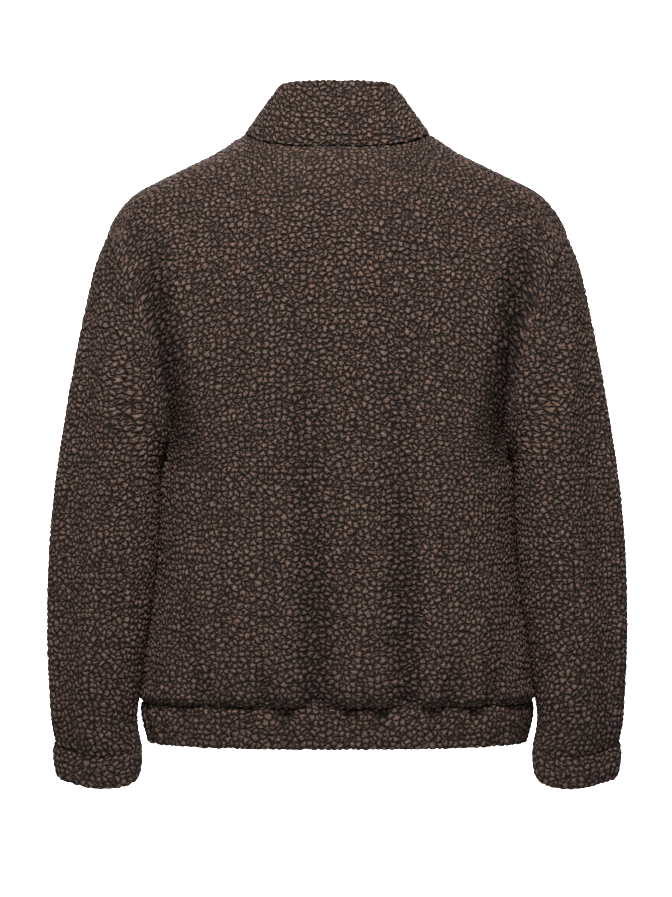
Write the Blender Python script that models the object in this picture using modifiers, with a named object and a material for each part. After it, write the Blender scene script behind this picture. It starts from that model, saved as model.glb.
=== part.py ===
"""Boucle bomber jacket, filled out as if worn, with no wearer.

Metres, +Z up. The jacket faces -Y and its left side is +X. The origin is on its middle line, in the neck opening.
Every cloth piece is a wall whose outer face is a surface worked out from the tables below: rings for the body, a
sweep over the shoulders, rings turning from the armhole to the wrist for the sleeves, and a ruled band for the
collar.

Cloth sizes are in millimetres and are turned into metres when a mesh is made.
"""

import math

import bmesh
import bpy
import numpy as np
from mathutils import Matrix

MM = 0.001

# Cloth
CLOTH = 4.0             # one layer of boucle fleece
DOUBLE = 6.5            # the doubled cloth of cuffs, collar and hem band
SEAM_HALF_GAP = 0.16    # each piece stops this far short of its seam line
CARRIED_GAP = 0.3       # a piece that lies on another keeps this gap to it

# Body
HEM_Z = -613.5          # seam between body and hem band
UNDERARM_Z = -331.0
UNDERARM_DROP = 26.0    # the row of the body through the underarm hangs this much lower away from it
UNDERARM_PINCH = 26.0   # the sides come in to the underarm over this height
BODY_POWER = 2.4        # squareness of the body's rings
BAND_MIDDLE_Y = -20.0   # the hem band is widest a little in front of the side seams
SEAM_LEAN = 12.0        # degrees that the side seam swings to the back at the hem
FRONT_EDGE_X = 7.0      # half the slot that shows the zip
NECK_SHARE = 1.0 / 3.0  # share of each half panel's top edge that is neck seam

# Rings of the body below the underarm
BODY_RINGS = np.array([
    # z,     half,  mid y, back,  front
    [-613.5, 212.5, -20.0, 128.0, 96.0],
    [-607.0, 218.4, -20.0, 137.0, 98.5],
    [-595.0, 218.2, -20.0, 144.0, 101.5],
    [-570.0, 215.5, -20.0, 148.0, 106.0],
    [-530.0, 209.6, -20.0, 149.0, 111.5],
    [-480.0, 202.9, -20.0, 150.0, 115.5],
    [-430.0, 198.8, -19.0, 150.0, 117.5],
    [-380.0, 196.2, -14.0, 145.0, 124.0],
    [-331.0, 191.5, -8.0, 141.0, 133.0],
])

# Armhole seam: turn 0 at the shoulder point, over the back to 180 at the underarm, over the front to 360
ARMHOLE = np.array([
    # turn,   x,     y,     z
    [0.0, 254.5, -4.0, -101.0],
    [20.0, 251.9, 28.0, -107.8],
    [37.0, 244.2, 54.0, -122.1],
    [51.0, 234.0, 74.0, -143.0],
    [63.0, 223.0, 86.0, -165.0],
    [74.0, 212.5, 91.0, -187.0],
    [85.0, 204.5, 91.0, -209.0],
    [99.0, 197.5, 87.0, -236.5],
    [116.0, 190.5, 77.0, -269.5],
    [135.0, 184.5, 59.0, -300.0],
    [156.0, 180.5, 32.0, -322.0],
    [180.0, 179.3, 0.0, -331.0],
    [206.0, 180.5, -34.0, -320.0],
    [229.0, 183.5, -61.0, -296.0],
    [249.0, 188.5, -78.0, -265.0],
    [266.0, 195.5, -86.0, -232.0],
    [281.0, 204.5, -88.0, -201.0],
    [296.0, 216.5, -84.0, -172.0],
    [311.0, 229.0, -73.0, -146.0],
    [325.0, 241.0, -56.0, -123.0],
    [341.0, 250.5, -34.0, -108.0],
    [360.0, 254.5, -4.0, -101.0],
])
UNDERARM = (179.3, 0.0)
ARMHOLE_EASE = 1.32     # how the rows of the body spread up along the armhole

# Shoulder seam from the collar to the shoulder point
SHOULDER = np.array([
    # x,     y,    z
    [102.0, -8.0, 13.0],
    [108.9, -8.0, 8.9],
    [128.0, -8.0, -4.8],
    [152.0, -8.0, -18.2],
    [178.5, -8.0, -31.5],
    [206.0, -7.5, -45.0],
    [226.5, -7.0, -57.5],
    [239.0, -6.0, -71.0],
    [248.0, -5.0, -85.0],
    [254.5, -4.0, -101.0],
])

# The same top edge without its corner at the collar, which the cloth below follows
SOFT_TOP = np.array([
    # share,  x,    y back, y front, z
    [0.0, 0.0, 66.0, -88.0, -6.6],
    [0.17, 54.0, 56.0, -76.0, -4.0],
    [0.34, 104.0, 22.0, -38.0, -2.0],
    [0.52, 146.0, -4.0, -13.0, -13.0],
    [0.72, 193.0, -8.0, -8.0, -36.0],
    [0.88, 233.0, -6.5, -6.5, -63.0],
    [1.0, 254.5, -4.0, -4.0, -101.0],
])
SOFT_TOP_FRONT_Z = np.array([
    # share, z
    [0.0, -55.0],
    [0.17, -33.0],
    [0.34, -4.0],
    [0.52, -13.0],
    [0.72, -36.0],
    [0.88, -63.0],
    [1.0, -101.0],
])
CORNER_POWER = 6.0      # how fast the corner fades below the collar

# Neck seam: turn in degrees from the middle of the back, height
NECK_HALF = 102.0
NECK_BACK = 74.0
NECK_FRONT = 80.0
NECK_MIDDLE_Y = -8.0
NECK_POWER = 2.3
NECK_HEIGHTS = np.array([
    # turn, z
    [0.0, -6.6],
    [30.0, -5.0],
    [50.0, 0.5],
    [70.0, 8.5],
    [90.0, 13.0],
    [110.0, 8.0],
    [130.0, -10.0],
    [150.0, -33.0],
    [170.0, -52.0],
    [180.0, -55.0],
])

# How far out on the sweep each row above the underarm runs before it is drawn to the armhole
SWEEP_REACH = np.array([
    # rise, back, front
    [0.0, 1.00, 1.00],
    [0.1, 0.86, 0.89],
    [0.2, 0.75, 0.81],
    [0.3, 0.68, 0.77],
    [0.4, 0.66, 0.77],
    [0.5, 0.70, 0.81],
    [0.6, 0.80, 0.89],
    [0.7, 0.93, 0.97],
    [0.8, 1.00, 1.00],
    [1.0, 1.00, 1.00],
])
DRAW_POWER = 2.5        # how far in from the armhole a row is drawn out to it

# How steeply the panels reach their top edge: share from the middle out, rise in y and in z
TOP_SLOPE_BACK = np.array([
    # share, dy,     dz
    [0.0, -230.0, 200.0],
    [0.33, -400.0, 70.0],
    [0.60, -470.0, 0.0],
    [1.0, -470.0, 0.0],
])
TOP_SLOPE_FRONT = np.array([
    # share, dy,    dz
    [0.0, 90.0, 250.0],
    [0.33, 380.0, 90.0],
    [0.60, 430.0, 0.0],
    [1.0, 430.0, 0.0],
])

# Soft troughs and ridges of the back: place at the foot and at the head, the two ends, depth, half width
BACK_FOLDS = np.array([
    # x foot, x head, z foot, z head, depth, half
    [145.0, 178.0, -613.0, -480.0, 6.5, 15.0],
    [115.0, 131.0, -613.0, -485.0, 5.0, 12.0],
    [73.0, 86.0, -613.0, -530.0, 8.0, 13.0],
    [20.0, 37.0, -613.0, -250.0, 7.0, 22.0],
    [-17.0, -10.0, -613.0, -560.0, 4.5, 13.0],
    [-88.0, -60.0, -613.0, -180.0, 8.0, 22.0],
    [-130.0, -121.0, -613.0, -510.0, 6.0, 13.0],
    [-170.0, -178.0, -613.0, -515.0, 6.0, 12.0],
    [187.0, 193.0, -320.0, -140.0, 9.0, 20.0],
    [-187.0, -193.0, -320.0, -140.0, 10.0, 20.0],
])
FRONT_FOLDS = np.array([
    # x foot, x head, z foot, z head, depth, half
    [160.0, 178.0, -613.0, -490.0, 6.0, 14.0],
    [112.0, 120.0, -613.0, -440.0, 6.0, 15.0],
    [58.0, 64.0, -613.0, -500.0, 5.5, 14.0],
    [-50.0, -56.0, -613.0, -490.0, 5.5, 14.0],
    [-98.0, -110.0, -613.0, -400.0, 6.5, 17.0],
    [-150.0, -163.0, -613.0, -500.0, 5.5, 14.0],
    [183.0, 190.0, -315.0, -150.0, 8.0, 19.0],
    [-183.0, -190.0, -315.0, -150.0, 8.0, 19.0],
])

# Sleeve rings below the armhole, with a tilt that lowers their back and a ridge along it
SLEEVE_RINGS = np.array([
    # t,   out x, out z,  in x,  in z,   mid y, depth, tilt, ridge turn, ridge
    [1.0, 267.0, -134.0, 186.5, -334.5, 3.0, 84.0, 0.0, 48.0, 3.0],
    [2.0, 277.5, -180.0, 192.8, -343.0, 5.5, 77.0, 0.0, 66.0, 4.5],
    [3.0, 287.5, -232.0, 196.0, -361.0, 10.0, 72.0, 0.0, 80.0, 5.5],
    [4.0, 297.0, -288.0, 196.5, -388.0, 14.0, 68.0, 1.0, 86.0, 6.0],
    [5.0, 306.0, -346.0, 197.3, -424.0, 17.0, 65.0, 2.0, 88.0, 6.0],
    [6.0, 312.5, -400.0, 200.0, -458.0, 19.0, 62.0, 4.0, 88.0, 6.0],
    [7.0, 316.5, -455.0, 203.8, -494.0, 19.0, 59.0, 6.0, 86.0, 5.5],
    [8.0, 318.2, -510.0, 209.0, -532.0, 17.0, 56.0, 9.0, 84.0, 5.0],
    [9.0, 318.0, -562.0, 214.5, -572.0, 13.0, 52.0, 12.0, 82.0, 4.0],
    [10.0, 316.5, -603.0, 218.8, -606.0, 6.0, 48.0, 16.0, 80.0, 3.0],
    [11.0, 314.5, -637.0, 219.5, -637.0, -2.0, 43.5, 20.0, 80.0, 1.5],
    [11.6, 310.8, -656.0, 217.0, -656.0, -7.0, 39.0, 23.0, 80.0, 0.5],
])
CUFF_RINGS = np.array([
    # t,   out x, out z,  in x,  in z,   mid y, depth, tilt, ridge turn, ridge
    [0.0, 311.0, -656.0, 216.8, -656.0, -7.0, 38.5, 23.0, 80.0, 0.2],
    [0.3, 313.5, -665.5, 215.2, -665.5, -9.5, 39.8, 23.0, 80.0, 0.0],
    [0.7, 313.2, -681.5, 215.4, -681.5, -13.5, 39.3, 23.0, 80.0, 0.0],
    [1.0, 310.8, -694.0, 217.4, -694.0, -17.0, 37.8, 23.0, 80.0, 0.0],
])

# Section of a sleeve: turn in degrees from its outer edge over the back, place across and in depth
SLEEVE_SECTION = np.array([
    # turn,  across, depth
    [0.0, 1.000, 0.000],
    [28.0, 0.900, 0.400],
    [55.0, 0.590, 0.725],
    [82.0, 0.090, 0.960],
    [108.0, -0.380, 0.975],
    [135.0, -0.760, 0.755],
    [158.0, -0.950, 0.415],
    [180.0, -1.000, 0.000],
    [206.0, -0.930, -0.440],
    [236.0, -0.610, -0.840],
    [270.0, 0.000, -1.000],
    [304.0, 0.610, -0.830],
    [333.0, 0.920, -0.430],
    [360.0, 1.000, 0.000],
])
RIDGE_HALF = 15.0       # half width of the ridge along a sleeve, degrees of turn
RIDGE_HOLLOW = 38.0     # the hollow beside the ridge lies this many degrees further out

# Hem band: half width and depths at its top and bottom seam, ripples
BAND_TOP_Z = HEM_Z
BAND_BOTTOM_Z = -658.0
BAND_RINGS = np.array([
    # z,     half,  back,  front
    [-613.5, 213.8, 129.5, 97.5],
    [-622.0, 215.2, 130.8, 98.6],
    [-640.0, 213.0, 129.2, 97.6],
    [-658.0, 208.6, 125.5, 94.5],
])
BAND_SEAM_TURN = 70.0
RIPPLE = 1.5
RIPPLES_ROUND = 30

# Collar: turn in degrees from the middle of the back, then half width, depths and height of its top edge
COLLAR_TOP_HALF = 64.5
COLLAR_TOP_BACK = 57.0
COLLAR_TOP_FRONT = 62.0
COLLAR_TOP_MIDDLE_Y = -10.0
COLLAR_TOP_POWER = 2.5
COLLAR_TOP_HEIGHTS = np.array([
    # turn, z
    [0.0, 68.0],
    [45.0, 68.0],
    [70.0, 66.0],
    [90.0, 60.0],
    [115.0, 51.0],
    [140.0, 38.0],
    [165.0, 29.0],
    [180.0, 27.0],
])
COLLAR_BULGE = 1.5

# Grid of each panel
BODY_ROWS = np.array([0.0, 0.022, 0.062, 0.13, 0.22, 0.33, 0.45, 0.58, 0.72, 0.86, 1.0])
ARMHOLE_ROWS = 12
BACK_COLUMNS = 42
FRONT_COLUMNS = 21
SLEEVE_STEPS = np.array([0.0, 0.6, 1.3, 2.1, 3.0, 3.9, 4.8, 5.7, 6.6, 7.5, 8.4, 9.3, 10.2, 11.0, 11.35, 11.6])
BACK_SEAM_COLUMN = 6
FRONT_SEAM_COLUMN = 19
CUFF_STEPS = np.array([0.0, 0.3, 0.7, 1.0])
CUFF_COLUMNS = 26
BAND_STEPS = np.array([0.0, 0.2, 0.6, 1.0])
BAND_BACK_COLUMNS = 56
BAND_FRONT_COLUMNS = 30
COLLAR_STEPS = np.array([0.0, 0.3, 0.65, 1.0])

# The two pieces at a seam split each bit of their rims along the same line, the one from the higher outer corner
RIM_ORDER = np.array([0.0, 0.11, 1.0])
RIM_ORDER_SIDE = 0.37

# Zip
TAPE_INNER_X = 1.4      # the two tapes leave room for the slider's bridge
TAPE_OUTER_X = 15.0
TAPE_THICK = 0.8
TAPE_GAP = 0.6          # between the tapes and the cloth they are sewn under
TAPE_SHORT = 1.5        # the tapes end this far below the collar's top and above the band's foot
ROW_INNER_X = 0.15
ROW_OUTER_X = 3.0
ROW_THICK = 2.2
BOX_SIZE = (7.4, 3.0, 8.0)
SLIDER_SIZE = (9.0, 1.1, 11.0)
SLIDER_BELOW_TOP = 10.0
BRIDGE_SIZE = (2.0, 4.6)
ARCH_WIRE = 0.8
ARCH_RISE = 3.4
ARCH_HALF = 3.4
ARCH_SHAPE = 0.6        # below 1 makes the arch squarer than a half circle
ARCH_SUNK = 0.4         # share of its wire's radius that the arch's ends lie in the plate
ARCH_POINTS = 11
AXIS_RISE = 1.3         # height of the tab's axis over the slider's front plate
BAR_RADIUS = 0.75
BAR_SHORTER = 0.2       # the bar ends inside the tab's rounded edges
TAB_SIZE = (7.0, 1.4, 30.0)
TAB_WINDOW = (3.8, 6.0)
TAB_HOLE = 1.6
TAB_HOLE_UP = 4.5       # the hole's middle lies this far above the tab's end
BOX_BEVEL = 0.5
SLIDER_BEVEL = 0.35
TAB_BEVEL = 0.4
BRIDGE_BELOW_TOP = 0.5
ROWS_BELOW_SLIDER = 1.0 # the rows end this far below the slider's middle
CUT_THROUGH = 6.0       # depth of a shape that cuts right through the tab
LEAST_STEP = 3.0        # rows of the slot's line stand at least this far apart


def spline(knots, values, at):
    """Natural cubic spline through the rows of values, read at any places."""
    knots = np.asarray(knots, float)
    values = np.asarray(values, float)
    at = np.clip(np.asarray(at, float), knots[0], knots[-1])
    steps = np.diff(knots)
    count = len(knots)
    matrix = np.eye(count)
    right = np.zeros(values.shape)
    rise = np.diff(values, axis=0) / steps.reshape((-1,) + (1,) * (values.ndim - 1))
    for k in range(1, count - 1):
        matrix[k, k - 1:k + 2] = steps[k - 1], 2.0 * (steps[k - 1] + steps[k]), steps[k]
        right[k] = 6.0 * (rise[k] - rise[k - 1])
    bend = np.linalg.solve(matrix, right.reshape(count, -1)).reshape(values.shape)
    place = np.clip(np.searchsorted(knots, at, side="right") - 1, 0, count - 2)
    wide = steps[place]
    a = (knots[place + 1] - at) / wide
    b = 1.0 - a
    if values.ndim > 1:
        a, b, wide = a[..., None], b[..., None], wide[..., None]
    curve = a * values[place] + b * values[place + 1]
    return curve + ((a ** 3 - a) * bend[place] + (b ** 3 - b) * bend[place + 1]) * wide ** 2 / 6.0


def unit_ring(turn, power):
    """Superellipse of half size 1: across and depth at a turn in degrees from the middle of the back."""
    across = np.sin(np.radians(turn))
    depth = np.cos(np.radians(turn))
    reach = (np.abs(across) ** power + np.abs(depth) ** power) ** (1.0 / power)
    return across / reach, depth / reach


def ring_point(turn, half, back, front, middle_y, power):
    """Point of a ring with one depth to the back and another to the front."""
    across, depth = unit_ring(turn, power)
    reach = np.where(depth > 0.0, back, front)
    return half * across, middle_y + reach * depth


def stack(x, y, z):
    return np.stack(np.broadcast_arrays(x, y, z), axis=-1)


def by_length(points):
    """Distance along a line of points, as a share of its whole length."""
    steps = np.linalg.norm(np.diff(points, axis=0), axis=1)
    along = np.concatenate([[0.0], np.cumsum(steps)])
    return along / along[-1]


def armhole(turn):
    """Armhole seam on the left at a turn in degrees."""
    return spline(ARMHOLE[:, 0], ARMHOLE[:, 1:], turn)


def turn_beside(side, up):
    """Turn of the armhole seam that a row meets; up runs from the underarm to the shoulder point."""
    below = 180.0 * (1.0 - up) ** ARMHOLE_EASE
    return below if side > 0 else 360.0 - below


def row_at(turn):
    """Row of the body that meets the armhole seam at a turn between 0 and 180."""
    return 1.0 - (turn / 180.0) ** (1.0 / ARMHOLE_EASE)


def neck_seam(turn):
    """Neck seam on the left half, at a turn in degrees from the middle of the back."""
    x, y = ring_point(turn, NECK_HALF, NECK_BACK, NECK_FRONT, NECK_MIDDLE_Y, NECK_POWER)
    return stack(x, y, spline(NECK_HEIGHTS[:, 0], NECK_HEIGHTS[:, 1], turn))


def edge_turn(half, depth):
    """Turn at which a ring passes the front edge beside the zip."""
    return 180.0 - np.degrees(np.arctan2(FRONT_EDGE_X / half, 1.0)) * np.ones_like(depth)


def top_edge(side, share):
    """Top edge of half a panel: neck seam up to NECK_SHARE, then the shoulder seam."""
    inner = np.clip(share / NECK_SHARE, 0.0, 1.0)
    if side > 0:
        turn = inner * 90.0
    else:
        last = edge_turn(NECK_HALF, NECK_FRONT)
        turn = last + (90.0 - last) * inner
    outer = np.clip((share - NECK_SHARE) / (1.0 - NECK_SHARE), 0.0, 1.0)
    seam = spline(by_length(SHOULDER), SHOULDER, outer)
    return np.where((share <= NECK_SHARE)[..., None], neck_seam(turn), seam)


def low_body(side, share, rise):
    """Body below the underarm: rings, with the side seam pinched in to the underarm point."""
    last_z = UNDERARM_Z - UNDERARM_DROP * (1.0 - share ** 5)
    z = HEM_Z + (last_z - HEM_Z) * rise
    half, middle, back, front = np.moveaxis(spline(BODY_RINGS[:, 0], BODY_RINGS[:, 1:], z), -1, 0)
    seam_turn = 90.0 - SEAM_LEAN * (1.0 - rise)
    if side > 0:
        turn = share * seam_turn
    else:
        last = edge_turn(half, front)
        turn = last + (seam_turn - last) * share
    x, y = ring_point(turn, half, back, front, middle, BODY_POWER)
    point = stack(x, y, z)
    near = np.exp(-((z - UNDERARM_Z) / UNDERARM_PINCH) ** 2)
    seam_x, seam_y = ring_point(seam_turn, half, back, front, middle, BODY_POWER)
    pull = stack(UNDERARM[0] - seam_x, UNDERARM[1] - seam_y, 0.0 * z)
    return point + pull * (near * share ** 3)[..., None]


def high_body(side, share, rise):
    """Body above the underarm: a cubic from the last ring to the top edge."""
    step = 0.002
    ones = np.ones_like(rise)
    start = low_body(side, share, ones)
    lean = (start - low_body(side, share, ones - step)) / step
    lean = lean * (-UNDERARM_Z / (UNDERARM_Z - HEM_Z))
    end = top_edge(side, share)
    soft = spline(SOFT_TOP[:, 0], SOFT_TOP[:, 1:], share)
    if side > 0:
        soft = stack(soft[..., 0], soft[..., 1], soft[..., 3])
    else:
        soft = stack(np.maximum(soft[..., 0], FRONT_EDGE_X), soft[..., 2],
                     spline(SOFT_TOP_FRONT_Z[:, 0], SOFT_TOP_FRONT_Z[:, 1], share))
    slopes = TOP_SLOPE_BACK if side > 0 else TOP_SLOPE_FRONT
    slope = spline(slopes[:, 0], slopes[:, 1:], share)
    slope = stack(0.0 * share, slope[..., 0], slope[..., 1])
    t = rise[..., None]
    return (start * (2 * t ** 3 - 3 * t ** 2 + 1) + lean * (t ** 3 - 2 * t ** 2 + t)
            + soft * (3 * t ** 2 - 2 * t ** 3) + slope * (t ** 3 - t ** 2)
            + (end - soft) * t ** CORNER_POWER)


def plain_body(side, share, rise):
    """Left half of the back (side 1) or front (side -1): share 0 to 1 outwards, rise 0 to 1 to 2 upwards."""
    share, rise = np.broadcast_arrays(np.asarray(share, float), np.asarray(rise, float))
    low = low_body(side, share, np.clip(rise, 0.0, 1.0))
    up = np.clip(rise - 1.0, 0.0, 1.0)
    reach = spline(SWEEP_REACH[:, 0], SWEEP_REACH[:, 1 if side > 0 else 2], up)
    high = high_body(side, share * reach, up)
    seam = armhole(turn_beside(side, up))
    edge = high_body(side, reach, up)
    high = high + (seam - edge) * (share ** DRAW_POWER)[..., None]
    return np.where((rise > 1.0)[..., None], high, low)


def fold_depth(folds, x, z):
    """Depth of the soft troughs at a place seen from the back or front."""
    depth = np.zeros_like(x)
    for x_foot, x_head, z_foot, z_head, deep, half in folds:
        along = np.clip((z - z_foot) / (z_head - z_foot), 0.0, 1.0)
        middle = x_foot + (x_head - x_foot) * along
        hem_fold = z_foot < HEM_Z + 1.0
        fade = 1.0 - along ** 2 * (3.0 - 2.0 * along) if hem_fold else np.sin(np.pi * along) ** 0.8
        inside = (z > z_foot - 4.0) & (z < z_head)
        off = (x - middle) / half
        shape = np.exp(-off ** 2) - 0.35 * np.exp(-((np.abs(off) - 1.9) / 0.8) ** 2)
        depth += deep * shape * np.where(inside, fade, 0.0)
    return depth


def body(side, hand, share, rise):
    """Outer face of a body panel with its folds; hand is 1 on the left and -1 on the right."""
    point = plain_body(side, share, rise) * np.array([hand, 1.0, 1.0])
    folds = BACK_FOLDS if side > 0 else FRONT_FOLDS
    depth = fold_depth(folds, point[..., 0], point[..., 2])
    edge = np.clip((1.0 - np.asarray(share, float)) * 9.0, 0.0, 1.0)
    point[..., 1] -= side * depth * edge
    return point


def ring_of(row, turn):
    """One ring of a sleeve or cuff table at the given turns."""
    t, out_x, out_z, in_x, in_z, mid_y, depth, tilt, ridge_turn, ridge = row
    across, deep = np.moveaxis(spline(SLEEVE_SECTION[:, 0], SLEEVE_SECTION[:, 1:], turn), -1, 0)
    raised = np.exp(-((turn - ridge_turn) / RIDGE_HALF) ** 2)
    raised = raised - 0.6 * np.exp(-((turn - ridge_turn + RIDGE_HOLLOW) / RIDGE_HALF / 1.4) ** 2)
    grow = 1.0 + raised * ridge / depth
    across, deep = across * grow, deep * grow
    middle = np.array([(out_x + in_x) / 2.0, mid_y, (out_z + in_z) / 2.0])
    wide = np.array([(out_x - in_x) / 2.0, 0.0, (out_z - in_z) / 2.0])
    back = np.array([0.0, math.cos(math.radians(tilt)), -math.sin(math.radians(tilt))]) * depth
    return middle + across[..., None] * wide + deep[..., None] * back


def tube(rows, first, turn, t):
    """Tube through the rings of a table, each turn following its own smooth line from ring to ring."""
    turn, t = np.broadcast_arrays(np.asarray(turn, float) % 360.0, np.asarray(t, float))
    rings = [] if first is None else [first(turn)]
    rings += [ring_of(row, turn) for row in rows]
    knots = list(rows[:, 0]) if first is None else [0.0] + list(rows[:, 0])
    flat_t = t.ravel()
    values = np.stack([ring.reshape(-1, 3) for ring in rings])
    count = len(knots)
    steps = np.diff(np.array(knots))
    matrix = np.eye(count)
    right = np.zeros(values.shape)
    rise = np.diff(values, axis=0) / steps[:, None, None]
    for k in range(1, count - 1):
        matrix[k, k - 1:k + 2] = steps[k - 1], 2.0 * (steps[k - 1] + steps[k]), steps[k]
        right[k] = 6.0 * (rise[k] - rise[k - 1])
    bend = np.linalg.solve(matrix, right.reshape(count, -1)).reshape(values.shape)
    place = np.clip(np.searchsorted(knots, flat_t, side="right") - 1, 0, count - 2)
    wide = steps[place][:, None]
    a = ((np.array(knots)[place + 1] - flat_t) / steps[place])[:, None]
    b = 1.0 - a
    each = np.arange(len(flat_t))
    point = a * values[place, each] + b * values[place + 1, each]
    point += ((a ** 3 - a) * bend[place, each] + (b ** 3 - b) * bend[place + 1, each]) * wide ** 2 / 6.0
    return point.reshape(t.shape + (3,))


def sleeve(hand, turn, t):
    return tube(SLEEVE_RINGS, armhole, turn, t) * np.array([hand, 1.0, 1.0])


def cuff(hand, turn, t):
    return tube(CUFF_RINGS, None, turn, t) * np.array([hand, 1.0, 1.0])


def band(turn, rise):
    """Hem band: turn from the middle of the back, left positive; rise 0 at the bottom, 1 at the top."""
    z = BAND_BOTTOM_Z + (BAND_TOP_Z - BAND_BOTTOM_Z) * rise
    rings = BAND_RINGS[::-1]
    half, back, front = np.moveaxis(spline(rings[:, 0], rings[:, 1:], z), -1, 0)
    angle = np.radians(turn)
    wave = RIPPLE * np.sin(angle * RIPPLES_ROUND + 1.3 * np.sin(angle * 5.0 + 0.7))
    wave = wave * (0.75 + 0.25 * np.sin(angle * 7.0))
    wave = wave * np.clip((172.0 - np.abs(turn)) / 8.0, 0.0, 1.0)
    x, y = ring_point(np.abs(turn), half + wave, back + wave, front + wave, BAND_MIDDLE_Y, BODY_POWER)
    return stack(np.sign(turn) * x, y, z)


def collar(turn, rise):
    """Collar: ruled from the neck seam to its top edge, with a slight bulge; left turns are positive."""
    away = np.abs(turn)
    foot = neck_seam(away)
    x, y = ring_point(away, COLLAR_TOP_HALF, COLLAR_TOP_BACK, COLLAR_TOP_FRONT, COLLAR_TOP_MIDDLE_Y,
                      COLLAR_TOP_POWER)
    head = stack(x, y, spline(COLLAR_TOP_HEIGHTS[:, 0], COLLAR_TOP_HEIGHTS[:, 1], away))
    rise = np.asarray(rise, float)[..., None]
    point = foot + (head - foot) * rise
    across, depth = unit_ring(away, NECK_POWER)
    bulge = COLLAR_BULGE * 4.0 * rise[..., 0] * (1.0 - rise[..., 0])
    point = point + stack(across * bulge, depth * bulge, 0.0 * bulge)
    return point * stack(np.where(turn < 0.0, -1.0, 1.0), 1.0, 1.0)


def facing(surface, u, v, step_u, step_v):
    """Unit normal of a surface, from points a small step apart."""
    along = surface(u + step_u, v) - surface(u - step_u, v)
    up = surface(u, v + step_v) - surface(u, v - step_v)
    normal = np.cross(along, up)
    return normal / np.maximum(np.linalg.norm(normal, axis=-1, keepdims=True), 1e-9)


def unit(vectors):
    return vectors / np.linalg.norm(vectors, axis=-1, keepdims=True)


def pulled_in(grid, sides):
    """Moves the named border rows of a grid a little inwards, to leave the seam gap."""
    moved = grid.copy()
    pairs = {"low": (np.s_[0], np.s_[1]), "high": (np.s_[-1], np.s_[-2]),
             "first": (np.s_[:, 0], np.s_[:, 1]), "last": (np.s_[:, -1], np.s_[:, -2])}
    for side in sides:
        edge, inner = pairs[side]
        moved[edge] += unit(grid[inner] - grid[edge]) * SEAM_HALF_GAP
    return moved


def wall_mesh(name, outer, inner, closed):
    """Closed wall between two grids of points; closed joins its last column to its first."""
    rows, columns = outer.shape[:2]
    points = np.concatenate([outer.reshape(-1, 3), inner.reshape(-1, 3)]) * MM
    index = np.arange(rows * columns).reshape(rows, columns)
    second = index + rows * columns
    if closed:
        index = np.concatenate([index, index[:, :1]], axis=1)
        second = np.concatenate([second, second[:, :1]], axis=1)

    def sheet(grid):
        return np.stack([grid[:-1, :-1], grid[:-1, 1:], grid[1:, 1:], grid[1:, :-1]], axis=-1).reshape(-1, 4)

    faces = [sheet(index), sheet(second)[:, ::-1]]
    rims = [(index[0], second[0], True), (index[-1], second[-1], False)]
    if not closed:
        rims += [(index[:, 0], second[:, 0], False), (index[:, -1], second[:, -1], True)]
    faces = np.concatenate(faces).tolist()
    order = points @ RIM_ORDER + np.abs(points[:, 0]) * RIM_ORDER_SIDE
    for near, far, flip in rims:
        for k in range(len(near) - 1):
            if order[near[k]] > order[near[k + 1]]:
                pair = [near[k], far[k], far[k + 1]], [near[k], far[k + 1], near[k + 1]]
            else:
                pair = [near[k], far[k], near[k + 1]], [far[k], far[k + 1], near[k + 1]]
            faces += [list(corner) if flip else list(corner[::-1]) for corner in pair]
    mesh = bpy.data.meshes.new(name)
    mesh.from_pydata(points.tolist(), [], faces)
    mesh.validate()
    shape = bmesh.new()
    shape.from_mesh(mesh)
    bmesh.ops.recalc_face_normals(shape, faces=shape.faces)
    if shape.calc_volume(signed=True) < 0.0:
        bmesh.ops.reverse_faces(shape, faces=shape.faces)
    shape.to_mesh(mesh)
    shape.free()
    mesh.shade_smooth()
    mesh.set_sharp_from_angle(angle=math.radians(50.0))
    return mesh


def material(name, colour, roughness, metallic):
    made = bpy.data.materials.new(name)
    made.use_nodes = True
    shader = made.node_tree.nodes["Principled BSDF"]
    shader.inputs["Base Color"].default_value = (*colour, 1.0)
    shader.inputs["Roughness"].default_value = roughness
    shader.inputs["Metallic"].default_value = metallic
    return made


def add(name, mesh, finish):
    made = bpy.data.objects.new(name, mesh)
    mesh.materials.clear()
    mesh.materials.append(finish)
    JACKET.objects.link(made)
    return made


def cloth_material(name, shade):
    return material(name, (0.055 * shade, 0.037 * shade, 0.029 * shade), 0.95, 0.0)


def metal_material(name):
    return material(name, (0.35, 0.33, 0.31), 0.35, 1.0)


def seam_direction(hand, turn):
    """Direction through the cloth at the armhole seam, halfway between the body's and the sleeve's own."""
    up = row_at(np.minimum(turn, 360.0 - turn))
    out = []
    for k, angle in enumerate(turn):
        side = 1 if angle < 180.0 else -1
        rise = 1.0 + np.clip(up[k], 0.02, 0.98)
        surface = lambda s, r: body(side, hand, s, r)
        shirt = facing(surface, np.array(0.985), np.array(rise), 0.006, 0.006) * -side * hand
        arm = facing(lambda a, b: sleeve(hand, a, b), np.array(angle), np.array(0.08), 1.0, 0.05) * -hand
        out.append(unit(unit(shirt) + unit(arm)))
    return np.array(out)


def neck_turns(last):
    """Turns of the neck seam, middle of the back to front edge, one for each column of the body's panels."""
    back = np.linspace(0.0, 90.0, round(BACK_COLUMNS / 2 * NECK_SHARE) + 1)
    front = np.linspace(90.0, last, round(FRONT_COLUMNS * NECK_SHARE) + 1)
    return np.concatenate([back, front[1:]])


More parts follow.
